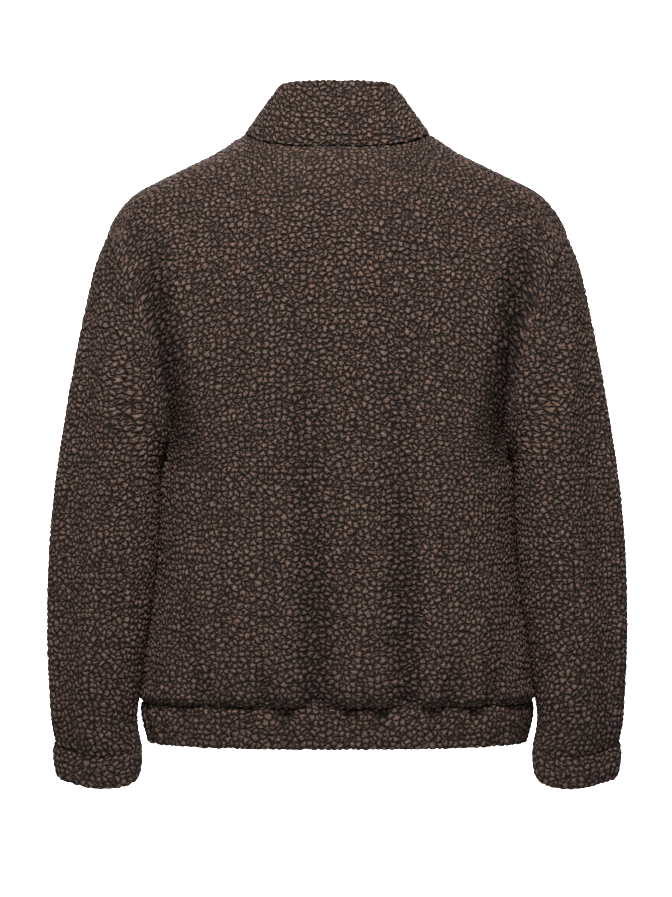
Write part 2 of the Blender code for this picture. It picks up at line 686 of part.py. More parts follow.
def neck_direction(turn):
    """Direction through the cloth at the neck seam on the left, halfway between the body's and the collar's."""
    last = float(edge_turn(NECK_HALF, np.array(1.0)))
    out = []
    for angle in turn:
        angle = abs(angle)
        side = 1 if angle < 89.9 else -1
        share = angle / 90.0 if side > 0 else (angle - last) / (90.0 - last)
        surface = lambda s, r: plain_body(side, s, r)
        place = np.array(np.clip(share * NECK_SHARE, 0.004, 0.99))
        shirt = unit(facing(surface, place, np.array(1.985), 0.003, 0.006) * -side)
        turned = np.array(angle)
        band_out = outward(facing(collar, turned, np.array(0.04), 0.5, 0.03), collar(turned, 0.04))
        out.append(unit(shirt + unit(band_out)))
    return np.array(out)


def outward(normals, points):
    """Turns normals so that they point away from the jacket's upright middle line."""
    away = points - np.array([0.0, NECK_MIDDLE_Y, 0.0])
    away = away * np.array([1.0, 1.0, 0.0])
    return normals * np.sign(np.sum(normals * away, axis=-1, keepdims=True))


def body_panel(side, hand, shares, rises):
    """Outer points and directions of half a panel, with the armhole's own direction along its edge."""
    share, rise = np.meshgrid(shares, rises)
    surface = lambda s, r: body(side, hand, s, r)
    points = surface(share, rise)
    inner_share = np.clip(share, 0.004, 0.992)
    inner_rise = np.clip(rise, 0.004, 1.992)
    normals = facing(surface, inner_share, inner_rise, 0.003, 0.003) * -side * hand
    edge = rises >= 1.0
    normals[edge, -1] = seam_direction(hand, turn_beside(side, rises[edge] - 1.0))
    normals[0] = unit(normals[0] * np.array([1.0, 1.0, 0.0]))
    last = float(edge_turn(NECK_HALF, np.array(1.0)))
    neck = shares < NECK_SHARE + 0.001
    place = shares[neck] / NECK_SHARE
    turn = 90.0 * place if side > 0 else last + (90.0 - last) * place
    normals[-1, neck] = neck_direction(turn) * np.array([hand, 1.0, 1.0])
    return points, normals


def make_body():
    rises = np.concatenate([BODY_ROWS, 1.0 + row_at(np.arange(ARMHOLE_ROWS)[::-1] * 180.0 / ARMHOLE_ROWS)])
    shares = np.linspace(0.0, 1.0, BACK_COLUMNS // 2 + 1)
    left, left_out = body_panel(1, 1, shares, rises)
    right, right_out = body_panel(1, -1, shares, rises)
    backs = np.concatenate([right[:, ::-1], left[:, 1:]], axis=1)
    backs_out = np.concatenate([right_out[:, ::-1], left_out[:, 1:]], axis=1)
    fronts = []
    for hand in (1, -1):
        fronts.append(body_panel(-1, hand, np.linspace(0.0, 1.0, FRONT_COLUMNS + 1), rises))
    share_seams(backs_out, fronts[0][1], fronts[1][1])
    fence = ["low", "high", "first", "last"]
    outer = pulled_in(backs, fence)
    add("back", wall_mesh("back", outer, pulled_in(backs - backs_out * CLOTH, fence), False),
        cloth_material("back", 1.0))
    for name, (points, out) in zip(("front_left", "front_right"), fronts):
        fence = ["low", "high", "last"]
        outer = pulled_in(points, fence)
        inner = pulled_in(points - out * CLOTH, fence)
        inner[:, 0, 0] = outer[:, 0, 0]
        add(name, wall_mesh(name, outer, inner, False), cloth_material(name, 0.95))
        if name == "front_left":
            SLOT_ROWS.append((inner[:, 0], inner[:, 1]))


def share_seams(back_out, left_out, right_out):
    """Gives the two panels at a side or shoulder seam one direction through the cloth."""
    for back_edge, front in ((back_out[:, -1], left_out), (back_out[:, 0], right_out)):
        seam = unit(back_edge + front[:, -1])
        back_edge[:] = seam
        front[:, -1] = seam
    middle = back_out.shape[1] // 2
    half = middle + 1
    for columns, front in ((back_out[-1, middle:], left_out), (back_out[-1, middle::-1], right_out)):
        share = np.linspace(0.0, 1.0, half)
        front_share = np.linspace(0.0, 1.0, front.shape[1])
        across = front_share > NECK_SHARE + 0.001
        for k in np.flatnonzero(across):
            place = np.argmin(np.abs(share - front_share[k]))
            seam = unit(columns[place] + front[-1, k])
            columns[place] = seam
            front[-1, k] = seam


def make_sleeves():
    columns = 2 * ARMHOLE_ROWS
    turns = np.arange(columns + 1) * 360.0 / columns
    turn, t = np.meshgrid(turns, SLEEVE_STEPS)
    parts = (("sleeve_outer", FRONT_SEAM_COLUMN - columns, BACK_SEAM_COLUMN, 1.0),
             ("sleeve_under", BACK_SEAM_COLUMN, FRONT_SEAM_COLUMN, 0.9))
    for hand, side_name in ((1, "left"), (-1, "right")):
        surface = lambda a, b: sleeve(hand, a, b)
        points = surface(turn, t)
        inner_t = np.clip(t, 0.06, SLEEVE_STEPS[-1] - 0.02)
        out = facing(surface, turn, inner_t, 1.0, 0.02) * -hand
        out[0] = seam_direction(hand, turns)
        out[-1] = in_plane(out[-1], SLEEVE_RINGS[-1, 7])
        for name, first, last, shade in parts:
            pick = np.arange(first, last + 1) % columns
            fence = ["low", "high", "first", "last"]
            outer = pulled_in(points[:, pick], fence)
            inner = pulled_in(points[:, pick] - out[:, pick] * CLOTH, fence)
            full = name + "_" + side_name
            add(full, wall_mesh(full, outer, inner, False), cloth_material(full, shade))


def in_plane(directions, tilt):
    """Lays directions into the plane of a tilted ring."""
    axis = np.array([0.0, math.sin(math.radians(tilt)), math.cos(math.radians(tilt))])
    return unit(directions - (directions @ axis)[..., None] * axis)


def make_cuffs():
    turns = np.arange(CUFF_COLUMNS) * 360.0 / CUFF_COLUMNS
    turn, t = np.meshgrid(turns, CUFF_STEPS)
    for hand, side_name in ((1, "left"), (-1, "right")):
        surface = lambda a, b: cuff(hand, a, b)
        points = surface(turn, t)
        out = facing(surface, turn, np.clip(t, 0.02, 0.98), 1.0, 0.02) * -hand
        out[0] = in_plane(out[0], CUFF_RINGS[0, 7])
        outer = pulled_in(points, ["low"])
        inner = pulled_in(points - out * DOUBLE, ["low"])
        name = "cuff_" + side_name
        add(name, wall_mesh(name, outer, inner, True), cloth_material(name, 0.95))


def make_band():
    last = float(edge_turn(BAND_RINGS[0, 1], np.array(1.0)))
    parts = (("hem_band_back", -BAND_SEAM_TURN, BAND_SEAM_TURN, BAND_BACK_COLUMNS, ["high", "first", "last"]),
             ("hem_band_left", BAND_SEAM_TURN, last, BAND_FRONT_COLUMNS, ["high", "first"]),
             ("hem_band_right", -last, -BAND_SEAM_TURN, BAND_FRONT_COLUMNS, ["high", "last"]))
    for name, first, stop, columns, fence in parts:
        turn, rise = np.meshgrid(np.linspace(first, stop, columns + 1), 1.0 - BAND_STEPS[::-1])
        points = band(turn, rise)
        out = facing(band, turn, np.clip(rise, 0.02, 0.98), 0.3, 0.02)
        out = outward(out, points)
        out[-1] = unit(out[-1] * np.array([1.0, 1.0, 0.0]))
        outer = pulled_in(points, fence)
        inner = pulled_in(points - out * DOUBLE, fence)
        if name != "hem_band_back":
            column = -1 if name == "hem_band_left" else 0
            sign = 1.0 if name == "hem_band_left" else -1.0
            outer[:, column, 0] = sign * FRONT_EDGE_X
            inner[:, column, 0] = sign * FRONT_EDGE_X
        if name == "hem_band_left":
            SLOT_ROWS.append((inner[:, -1], inner[:, -2]))
        add(name, wall_mesh(name, outer, inner, False), cloth_material(name, 0.9))


def make_collar():
    last = float(edge_turn(NECK_HALF, np.array(1.0)))
    turns = neck_turns(last)
    turns = np.concatenate([-turns[::-1], turns[1:]])
    turn, rise = np.meshgrid(turns, COLLAR_STEPS)
    points = collar(turn, rise)
    out = outward(facing(collar, turn, np.clip(rise, 0.02, 0.98), 0.5, 0.02), points)
    out[0] = neck_direction(turns) * stack(np.where(turns < 0.0, -1.0, 1.0), 1.0, 1.0)
    thick = np.where(rise > 0.0, DOUBLE, CLOTH)[..., None]
    outer = pulled_in(points, ["low"])
    inner = pulled_in(points - out * thick, ["low"])
    for column, sign in ((0, -1.0), (-1, 1.0)):
        outer[:, column, 0] = sign * FRONT_EDGE_X
        inner[:, column, 0] = sign * FRONT_EDGE_X
    add("collar", wall_mesh("collar", outer, inner, False), cloth_material("collar", 0.9))
    SLOT_ROWS.append((inner[:, -1], inner[:, -2]))


def slot_line():
    """Rows down the slot, foot to top: the cloth's inner face at the front edge and under the tape's outer edge."""
    rows = []
    for edge, beside in SLOT_ROWS:
        share = (TAPE_OUTER_X - edge[:, :1]) / (beside[:, :1] - edge[:, :1])
        rows += list(zip(edge, edge + (beside - edge) * share))
    rows.sort(key=lambda row: row[0][2])
    kept = [rows[0]]
    for row in rows[1:]:
        if row[0][2] - kept[-1][0][2] > LEAST_STEP:
            kept.append(row)
        elif row[0][1] > kept[-1][0][1]:
            kept[-1] = row
    return np.array(kept)


class Slot:
    """The zip's way up the front: points by distance from the foot, with the directions up and outwards."""

    def __init__(self):
        self.rows = slot_line()
        self.line = self.rows[:, 0] * np.array([0.0, 1.0, 1.0])
        self.along = np.concatenate([[0.0], np.cumsum(np.linalg.norm(np.diff(self.line, axis=0), axis=1))])
        up = unit(np.gradient(self.line, self.along, axis=0))
        self.out = unit(np.stack([0.0 * up[:, 0], -up[:, 2], up[:, 1]], axis=-1))

    def read(self, values, distance):
        columns = [np.interp(distance, self.along, values[:, k]) for k in range(3)]
        return np.stack(columns, axis=-1)

    def steps(self, first, last):
        inside = self.along[(self.along > first + 1.0) & (self.along < last - 1.0)]
        return np.concatenate([[first], inside, [last]])

    def frame(self, distance):
        """Matrix with x across, y inwards and z up the zip, at a distance in millimetres from the foot."""
        out = unit(self.read(self.out, distance))
        place = self.read(self.line, distance)
        up = np.cross(np.array([1.0, 0.0, 0.0]), -out)
        turned = Matrix.Identity(4)
        for k in range(3):
            turned[k][0] = (1.0, 0.0, 0.0)[k]
            turned[k][1] = -out[k]
            turned[k][2] = up[k]
            turned[k][3] = place[k] * MM
        return turned


def strip_mesh(name, slot, distances, columns, near, far):
    """Strip up the zip: columns of x over cloth points, between two offsets out from the cloth's inner face."""
    edge = slot.read(slot.rows[:, 0], distances)
    beside = slot.read(slot.rows[:, 1], distances)
    out = unit(slot.read(slot.out, distances))
    grids = []
    for offset in (near, far):
        lines = []
        for x in columns:
            base = beside if abs(x) > FRONT_EDGE_X else edge
            line = base + out * offset
            line[:, 0] = x
            lines.append(line)
        grids.append(np.stack(lines, axis=1))
    return wall_mesh(name, grids[0], grids[1], False)


def box_shape(size, middle, bevel, name):
    """Box with rounded edges, in millimetres."""
    shape = bmesh.new()
    bmesh.ops.create_cube(shape, size=1.0)
    bmesh.ops.scale(shape, vec=[side * MM for side in size], verts=shape.verts)
    bmesh.ops.translate(shape, vec=[part * MM for part in middle], verts=shape.verts)
    mesh = bpy.data.meshes.new(name)
    shape.to_mesh(mesh)
    shape.free()
    made = bpy.data.objects.new(name, mesh)
    if bevel > 0.0:
        rounding = made.modifiers.new("Rounded edges", "BEVEL")
        rounding.width = bevel * MM
        rounding.segments = 2
    return made


def rod_shape(radius, length, along, middle, name):
    """Round rod of a given length, in millimetres."""
    shape = bmesh.new()
    bmesh.ops.create_cone(shape, cap_ends=True, segments=14, radius1=radius * MM, radius2=radius * MM,
                          depth=length * MM)
    if along == "x":
        bmesh.ops.rotate(shape, cent=(0.0, 0.0, 0.0), matrix=Matrix.Rotation(math.pi / 2.0, 3, "Y"),
                         verts=shape.verts)
    if along == "y":
        bmesh.ops.rotate(shape, cent=(0.0, 0.0, 0.0), matrix=Matrix.Rotation(math.pi / 2.0, 3, "X"),
                         verts=shape.verts)
    bmesh.ops.translate(shape, vec=[part * MM for part in middle], verts=shape.verts)
    mesh = bpy.data.meshes.new(name)
    shape.to_mesh(mesh)
    shape.free()
    return bpy.data.objects.new(name, mesh)


def combined(base, others, operation):
    """Joins or cuts a piece with helper shapes that stay hidden in their own collection."""
    for other in others:
        CUTTERS.objects.link(other)
        other.hide_render = True
        other.display_type = "WIRE"
        step = base.modifiers.new(operation.title(), "BOOLEAN")
        step.operation = operation
        step.solver = "EXACT"
        step.object = other


def arch_mesh(front):
    """Bent wire over the slider's front plate, along the zip, as a closed mesh."""
    curve = bpy.data.curves.new("arch_line", "CURVE")
    curve.dimensions = "3D"
    curve.bevel_depth = ARCH_WIRE * MM
    curve.bevel_resolution = 2
    curve.use_fill_caps = True
    line = curve.splines.new("POLY")
    line.points.add(ARCH_POINTS - 1)
    for k in range(ARCH_POINTS):
        angle = math.pi * k / (ARCH_POINTS - 1)
        rise = ARCH_RISE * math.sin(angle) ** ARCH_SHAPE - ARCH_SUNK * ARCH_WIRE
        line.points[k].co = (0.0, (front - rise) * MM, ARCH_HALF * math.cos(angle) * MM, 1.0)
    made = bpy.data.objects.new("arch_line", curve)
    CUTTERS.objects.link(made)
    bpy.context.view_layer.update()
    mesh = bpy.data.meshes.new_from_object(made.evaluated_get(bpy.context.evaluated_depsgraph_get()))
    bpy.data.objects.remove(made, do_unlink=True)
    shape = bmesh.new()
    shape.from_mesh(mesh)
    bmesh.ops.remove_doubles(shape, verts=shape.verts, dist=0.00001)
    shape.to_mesh(mesh)
    shape.free()
    return mesh


def make_zip():
    slot = Slot()
    foot = TAPE_SHORT
    top = slot.along[-1] - TAPE_SHORT
    metal = metal_material("zip_metal")
    tape_face = -TAPE_GAP
    row_back = tape_face + CARRIED_GAP
    row_face = row_back + ROW_THICK
    for hand, side_name in ((1.0, "left"), (-1.0, "right")):
        name = "zip_tape_" + side_name
        columns = [hand * TAPE_INNER_X, hand * FRONT_EDGE_X, hand * TAPE_OUTER_X]
        mesh = strip_mesh(name, slot, slot.steps(foot, top), columns, tape_face, tape_face - TAPE_THICK)
        add(name, mesh, material(name, (0.02, 0.016, 0.014), 0.8, 0.0))
    box_top = foot + BOX_SIZE[2]
    slider_at = top - SLIDER_BELOW_TOP
    rows_end = slider_at - ROWS_BELOW_SLIDER
    for hand, side_name in ((1.0, "left"), (-1.0, "right")):
        name = "zip_teeth_" + side_name
        steps = slot.steps(box_top + CARRIED_GAP, rows_end)
        mesh = strip_mesh(name, slot, steps, [hand * ROW_INNER_X, hand * ROW_OUTER_X], row_face, row_back)
        add(name, mesh, metal)
    box = box_shape(BOX_SIZE, (0.0, -row_back - BOX_SIZE[1] / 2.0, 0.0), BOX_BEVEL, "zip_box")
    box.data.materials.append(metal)
    JACKET.objects.link(box)
    box.matrix_world = slot.frame(foot + BOX_SIZE[2] / 2.0)
    make_slider(slot.frame(slider_at), row_face, tape_face - TAPE_THICK, metal)


def make_slider(frame, row_face, tape_back, metal):
    """Slider round both rows, its bridge between the tapes, and the tab on the arch; local y runs inwards."""
    thick, long = SLIDER_SIZE[1:]
    front = -(row_face + CARRIED_GAP)
    back = -(tape_back - CARRIED_GAP)
    slider = box_shape(SLIDER_SIZE, (0.0, front - thick / 2.0, 0.0), SLIDER_BEVEL, "zip_slider")
    rear = box_shape(SLIDER_SIZE, (0.0, back + thick / 2.0, 0.0), SLIDER_BEVEL, "slider_rear_plate")
    deep = back - front + thick
    bridge_up = long / 2.0 - BRIDGE_SIZE[1] / 2.0 - BRIDGE_BELOW_TOP
    bridge = box_shape((BRIDGE_SIZE[0], deep, BRIDGE_SIZE[1]), (0.0, (front + back) / 2.0, bridge_up), 0.0,
                       "slider_bridge")
    arch = bpy.data.objects.new("slider_arch", arch_mesh(front - thick))
    JACKET.objects.link(slider)
    slider.data.materials.append(metal)
    for piece in (rear, bridge, arch, slider):
        piece.matrix_world = frame
    combined(slider, [rear, bridge, arch], "UNION")
    axis = Matrix.Translation((0.0, (front - thick - AXIS_RISE) * MM, 0.0))
    tab = box_shape(TAB_SIZE, (0.0, 0.0, -TAB_SIZE[2] / 2.0), TAB_BEVEL, "zip_pull")
    bar = rod_shape(BAR_RADIUS, TAB_SIZE[0] - BAR_SHORTER, "x", (0.0, 0.0, 0.0), "tab_bar")
    window = box_shape((TAB_WINDOW[0], CUT_THROUGH, TAB_WINDOW[1]), (0.0, 0.0, -TAB_WINDOW[1] / 2.0), 0.0,
                       "tab_window")
    hole = rod_shape(TAB_HOLE, CUT_THROUGH, "y", (0.0, 0.0, TAB_HOLE_UP - TAB_SIZE[2]), "tab_hole")
    JACKET.objects.link(tab)
    tab.data.materials.append(metal)
    for piece in (window, hole, bar, tab):
        piece.matrix_world = frame @ axis
    combined(tab, [window, hole], "DIFFERENCE")
    combined(tab, [bar], "UNION")


def start():
    for thing in list(bpy.data.objects):
        bpy.data.objects.remove(thing, do_unlink=True)
    made = bpy.data.collections.new("boucle_bomber_jacket")
    bpy.context.scene.collection.children.link(made)
    return made


SLOT_ROWS = []
JACKET = start()
CUTTERS = bpy.data.collections.new("cutters")
bpy.context.scene.collection.children.link(CUTTERS)
make_body()
make_sleeves()
make_cuffs()
make_band()
make_collar()
make_zip()
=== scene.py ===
import math

import bpy
import numpy as np
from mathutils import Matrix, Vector


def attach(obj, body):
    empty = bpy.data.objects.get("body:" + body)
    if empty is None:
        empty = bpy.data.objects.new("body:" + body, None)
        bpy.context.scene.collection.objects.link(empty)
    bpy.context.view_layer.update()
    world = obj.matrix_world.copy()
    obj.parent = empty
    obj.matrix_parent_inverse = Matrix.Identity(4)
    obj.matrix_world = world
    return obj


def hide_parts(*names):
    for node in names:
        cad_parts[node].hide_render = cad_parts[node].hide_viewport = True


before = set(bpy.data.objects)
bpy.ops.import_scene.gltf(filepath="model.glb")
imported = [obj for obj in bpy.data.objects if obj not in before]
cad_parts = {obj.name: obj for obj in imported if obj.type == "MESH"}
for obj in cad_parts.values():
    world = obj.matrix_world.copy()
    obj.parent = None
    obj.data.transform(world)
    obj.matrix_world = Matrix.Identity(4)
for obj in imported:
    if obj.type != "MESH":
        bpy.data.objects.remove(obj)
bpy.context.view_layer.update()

# All sizes are in millimetres until a mesh is made.


# Back
# The back is one cut panel of dark brown boucle, a looped pile whose curls stand close together as nubs. It
# is sewn to the fronts at the sides and shoulders, to the sleeves round the armholes, and to the collar and
# the hem band.
HEM_Z = -613.5
UNDERARM = (179.3, 0.0, -331.0)
UNDERARM_DROP = 26.0
UNDERARM_PINCH = 12.0
PINCH_POWER = 14.0  # the front's cloth bunches up close to the underarm
BODY_POWER = 2.4
SEAM_LEAN = 12.0
FRONT_EDGE_X = 7.0
NECK_SHARE = 1.0 / 3.0
BODY_RINGS = np.array([
    # z,     half,  mid y, back,  front
    [-613.5, 212.5, -20, 128, 96],
    [-607, 218.4, -20, 137, 98.5],
    [-595, 218.2, -20, 144, 101.5],
    [-570, 215.5, -20, 148, 106],
    [-530, 209.6, -20, 149, 111.5],
    [-480, 202.9, -20, 150, 115.5],
    [-430, 198.8, -19, 150, 117.5],
    [-380, 196.2, -14, 145, 124],
    [-331, 191.5, -8, 141, 133],
])
ARMHOLE = np.array([
    # turn,   x,     y,     z
    [0, 254.5, -4, -101],
    [20, 251.9, 28, -107.8],
    [37, 244.2, 54, -122.1],
    [51, 234, 74, -143],
    [63, 223, 86, -165],
    [74, 212.5, 91, -187],
    [85, 204.5, 91, -209],
    [99, 197.5, 87, -236.5],
    [116, 190.5, 77, -269.5],
    [135, 184.5, 59, -300],
    [156, 180.5, 32, -322],
    [180, 179.3, 0, -331],
    [206, 180.5, -34, -320],
    [229, 183.5, -61, -296],
    [249, 188.5, -78, -265],
    [266, 195.5, -86, -232],
    [281, 204.5, -88, -201],
    [296, 216.5, -84, -172],
    [311, 229, -73, -146],
    [325, 241, -56, -123],
    [341, 250.5, -34, -108],
    [360, 254.5, -4, -101],
])
ARMHOLE_EASE = 1.32
SHOULDER = np.array([
    # x,     y,    z
    [102, -8, 13],
    [108.9, -8, 8.9],
    [128, -8, -4.8],
    [152, -8, -18.2],
    [178.5, -8, -31.5],
    [206, -7.5, -45],
    [226.5, -7, -57.5],
    [239, -6, -71],
    [248, -5, -85],
    [254.5, -4, -101],
])
SOFT_TOP = np.array([
    # share,  x,    y back, y front, z back, z front
    [0, 0, 66, -88, -6.6, -55],
    [0.17, 54, 56, -76, -4, -33],
    [0.34, 104, 22, -38, -2, -4],
    [0.52, 146, -4, -13, -13, -13],
    [0.72, 193, -8, -8, -36, -36],
    [0.88, 233, -6.5, -6.5, -63, -63],
    [1, 254.5, -4, -4, -101, -101],
])
CORNER_POWER = 6.0
NECK_HALF, NECK_BACK, NECK_FRONT, NECK_MIDDLE_Y, NECK_POWER = 102.0, 74.0, 80.0, -8.0, 2.3
NECK_HEIGHTS = np.array([
    # turn, z
    [0, -6.6],
    [30, -5],
    [50, 0.5],
    [70, 8.5],
    [90, 13],
    [110, 8],
    [130, -10],
    [150, -33],
    [170, -52],
    [180, -55],
])
SWEEP_REACH = np.array([
    # rise, back, front
    [0, 1, 1],
    [0.1, 0.86, 0.89],
    [0.2, 0.75, 0.81],
    [0.3, 0.68, 0.77],
    [0.4, 0.66, 0.77],
    [0.5, 0.7, 0.81],
    [0.6, 0.8, 0.89],
    [0.7, 0.93, 0.97],
    [0.8, 1, 1],
    [1, 1, 1],
])
DRAW_POWER = 2.5
TOP_SLOPE = np.array([
    # share, dy back, dz back, dy front, dz front
    [0, -230, 200, 90, 250],
    [0.33, -400, 70, 380, 90],
    [0.60, -470, 0, 430, 0],
    [1, -470, 0, 430, 0],
])
BACK_FOLDS = np.array([
    # x foot, x head, z foot, z head, depth, half
    [138, 176, -613, -470, 8, 14],
    [109, 132, -613, -480, 6.5, 12],
    [75, 92, -613, -510, 9.5, 13],
    [20, 42, -613, -130, 15, 20],
    [-33, -9, -613, -545, 6, 12],
    [-76, -62, -613, -170, 16, 18],
    [-121, -128, -613, -500, 8.5, 14],
    [-168, -180, -613, -480, 8, 12],
    [176, 206, -370, -95, 21, 18],
    [-176, -206, -370, -95, 22, 18],
])
FOLD_SIDE = (0.45, 1.9, 0.8)  # the rise beside a fold: height, place and half, in the fold's own
FOLD_FOOT = 4.0  # a fold reaches this far below its foot
FOLD_STOP = 22.0  # folds run out over the panel's last 22nd
HEM_HELD = 9.0  # the hem seam holds the cloth flat this high up
SEAM_HALF_GAP = 0.02
SEAM_WIDE = 4.5  # the pile turns down to a seam over this width
SEAM_DEEP = 1.5
HEM_SEAM_DEEP = 0.6  # the body blouses over the hem band's seam
LONG_SEAM_DEEP = 0.6  # a sleeve's own seams nearly drown in the pile
CLOTH = 4.0
INSIDE_STEP = 6  # the plain inside has one face for this many along the outside
PILE_OUT = 0.7  # how far the nubs' tops stand out of the solid's face
PILE = 2.2  # depth of the gaps between the nubs
NUBS_EACH_METRE = (149.0, 158.0, 0.0)
NUB_BEND = (300.0, 0.7)  # waves a metre, and reach in cells
NUB_WALL = 0.42  # a nub rises over this distance from its cell's wall
NUB_HOLE = (0.04, 0.2, 0.35)  # bottom and rim, from the centre, and the height left in it
NUB_WHOLE = 0.72  # share of the nubs without a hole
NUB_LOW = 0.84  # height of the lowest nub
PATCH_APART = 1000.0  # each piece is cut from its own part of the cloth
FOLD_SHADE_DEEP = 14.0  # a trough this deep is given as much painted shade as a seam's pressed pile
EDGE_IN = 0.44  # share of the cloth by which each face draws in at a free edge
EDGE_BARE = 0.8  # how much lower the nubs are there
SEAM_THIN = 0.2  # share of a seam's dip that comes off the thickness
LEAST_CLOTH = 0.3  # least thickness under a gap between nubs
INSIDE_PRESSED = 0.3
EVEN_AT = (0.45, 0.7)  # share and rise of the lines with even rows and columns
BACK_GRID = (146, 186, 282)  # rows below the underarm, rows above it, columns


def spline(knots, values, at):
    """Natural cubic spline through rows of values: pieces of third degree with the same slope and bend where
    they meet, and no bend at the ends."""
    knots, values = np.asarray(knots, float), np.asarray(values, float)
    at = np.clip(np.asarray(at, float), knots[0], knots[-1])
    steps = np.diff(knots)
    count = len(knots)
    matrix, right = np.eye(count), np.zeros(values.shape)
    rise = np.diff(values, axis=0) / steps.reshape((-1,) + (1,) * (values.ndim - 1))
    for k in range(1, count - 1):
        matrix[k, k - 1:k + 2] = steps[k - 1], 2.0 * (steps[k - 1] + steps[k]), steps[k]
        right[k] = 6.0 * (rise[k] - rise[k - 1])
    bend = np.linalg.solve(matrix, right.reshape(count, -1)).reshape(values.shape)
    place = np.clip(np.searchsorted(knots, at, side="right") - 1, 0, count - 2)
    wide = steps[place]
    a = (knots[place + 1] - at) / wide
    b = 1.0 - a
    if values.ndim > 1:
        a, b, wide = a[..., None], b[..., None], wide[..., None]
    curve = a * values[place] + b * values[place + 1]
    return curve + ((a ** 3 - a) * bend[place] + (b ** 3 - b) * bend[place + 1]) * wide ** 2 / 6.0


def table(rows, at):
    """Every column of a table after its first, read at places along its first column."""
    return np.moveaxis(spline(rows[:, 0], rows[:, 1:], at), -1, 0)


def stack(x, y, z):
    return np.stack(np.broadcast_arrays(x, y, z), axis=-1)


def ring_point(turn, half, back, front, middle_y, power):
    """Superellipse ring: |x|^p + |y|^p = 1 at a turn from the middle of the back, stretched to half its width
    across, one depth to the back and another to the front."""
    across, depth = np.sin(np.radians(turn)), np.cos(np.radians(turn))
    reach = (np.abs(across) ** power + np.abs(depth) ** power) ** (1.0 / power)
    return half * across / reach, middle_y + np.where(depth > 0.0, back, front) * depth / reach


def neck_seam(turn):
    """Neck seam: a superellipse in plan, with its height from the table."""
    x, y = ring_point(turn, NECK_HALF, NECK_BACK, NECK_FRONT, NECK_MIDDLE_Y, NECK_POWER)
    return stack(x, y, spline(NECK_HEIGHTS[:, 0], NECK_HEIGHTS[:, 1], turn))


def edge_turn(half):
    """Turn at which a ring of this half width meets the front's edge."""
    return 180.0 - np.degrees(np.arctan2(FRONT_EDGE_X / half, 1.0))


def unit(vectors):
    return vectors / np.maximum(np.linalg.norm(vectors, axis=-1, keepdims=True), 1e-9)


def lengths_along(points):
    """Distances of a line's points from its first one."""
    return np.concatenate([[0.0], np.cumsum(np.linalg.norm(np.diff(points, axis=0), axis=1))])


def top_edge(side, share):
    """Top edge of half a panel: the neck seam up to NECK_SHARE, then the shoulder seam by its length."""
    inner = np.clip(share / NECK_SHARE, 0.0, 1.0)
    first = 0.0 if side > 0 else edge_turn(NECK_HALF)
    lengths = lengths_along(SHOULDER)
    outer = np.clip((share - NECK_SHARE) / (1.0 - NECK_SHARE), 0.0, 1.0)
    seam = spline(lengths / lengths[-1], SHOULDER, outer)
    return np.where((share <= NECK_SHARE)[..., None], neck_seam(first + (90.0 - first) * inner), seam)


def low_body(side, share, rise):
    """Body from the hem seam (rise 0) to the underarm (rise 1): a ring at each height, its side pulled in to
    the underarm point by a bell curve of the height."""
    z = HEM_Z + (UNDERARM[2] - UNDERARM_DROP * (1.0 - share ** 5) - HEM_Z) * rise
    half, middle, back, front = table(BODY_RINGS, z)
    seam_turn = 90.0 - SEAM_LEAN * (1.0 - rise)
    first = 0.0 if side > 0 else edge_turn(half)
    x, y = ring_point(first + (seam_turn - first) * share, half, back, front, middle, BODY_POWER)
    seam_x, seam_y = ring_point(seam_turn, half, back, front, middle, BODY_POWER)
    near = np.exp(-((z - UNDERARM[2]) / UNDERARM_PINCH) ** 2) * share ** (3.0 if side > 0 else PINCH_POWER)
    return stack(x + (UNDERARM[0] - seam_x) * near, y + (UNDERARM[1] - seam_y) * near, z)


def high_body(side, share, rise):
    """Body from the underarm to its top edge: a cubic with the lower body's slope at its foot and a given
    slope at its head, which ends on a smooth line; the top edge's corner comes in by a high power."""
    step = 0.002
    ones = np.ones_like(rise)
    start = low_body(side, share, ones)
    lean = (start - low_body(side, share, ones - step)) / step * (-UNDERARM[2] / (UNDERARM[2] - HEM_Z))
    x, *ends = table(SOFT_TOP, share)
    front = int(side < 0)
    soft = stack(np.maximum(x, FRONT_EDGE_X * front), ends[front], ends[2 + front])
    slope = stack(0.0 * share, *table(TOP_SLOPE, share)[2 * front:2 * front + 2])
    t = rise[..., None]
    return (start * (2 * t ** 3 - 3 * t ** 2 + 1) + lean * (t ** 3 - 2 * t ** 2 + t)
            + soft * (3 * t ** 2 - 2 * t ** 3) + slope * (t ** 3 - t ** 2)
            + (top_edge(side, share) - soft) * t ** CORNER_POWER)


def armhole(turn):
    return spline(ARMHOLE[:, 0], ARMHOLE[:, 1:], turn)


def fold_depth(folds, x, z):
    """Troughs: a bell curve across each fold's line with a low rise on both sides of it, fading out at its
    head, and at its foot too unless the foot is gathered into the hem seam."""
    side_rise, side_place, side_half = FOLD_SIDE
    depth = np.zeros_like(x)
    for x_foot, x_head, z_foot, z_head, deep, half in folds:
        along = np.clip((z - z_foot) / (z_head - z_foot), 0.0, 1.0)
        off = (x - x_foot - (x_head - x_foot) * along) / half
        gathered = z_foot < HEM_Z + 1.0
        fade = 1.0 - along ** 2 * (3.0 - 2.0 * along) if gathered else np.sin(np.pi * along) ** 0.8
        inside = (z > z_foot - FOLD_FOOT) & (z < z_head)
        shape = np.exp(-off ** 2) - side_rise * np.exp(-((np.abs(off) - side_place) / side_half) ** 2)
        held_flat = np.clip((z - HEM_Z) / HEM_HELD, 0.0, 1.0)
        depth += deep * shape * np.where(inside, fade, 0.0) * held_flat
    return depth


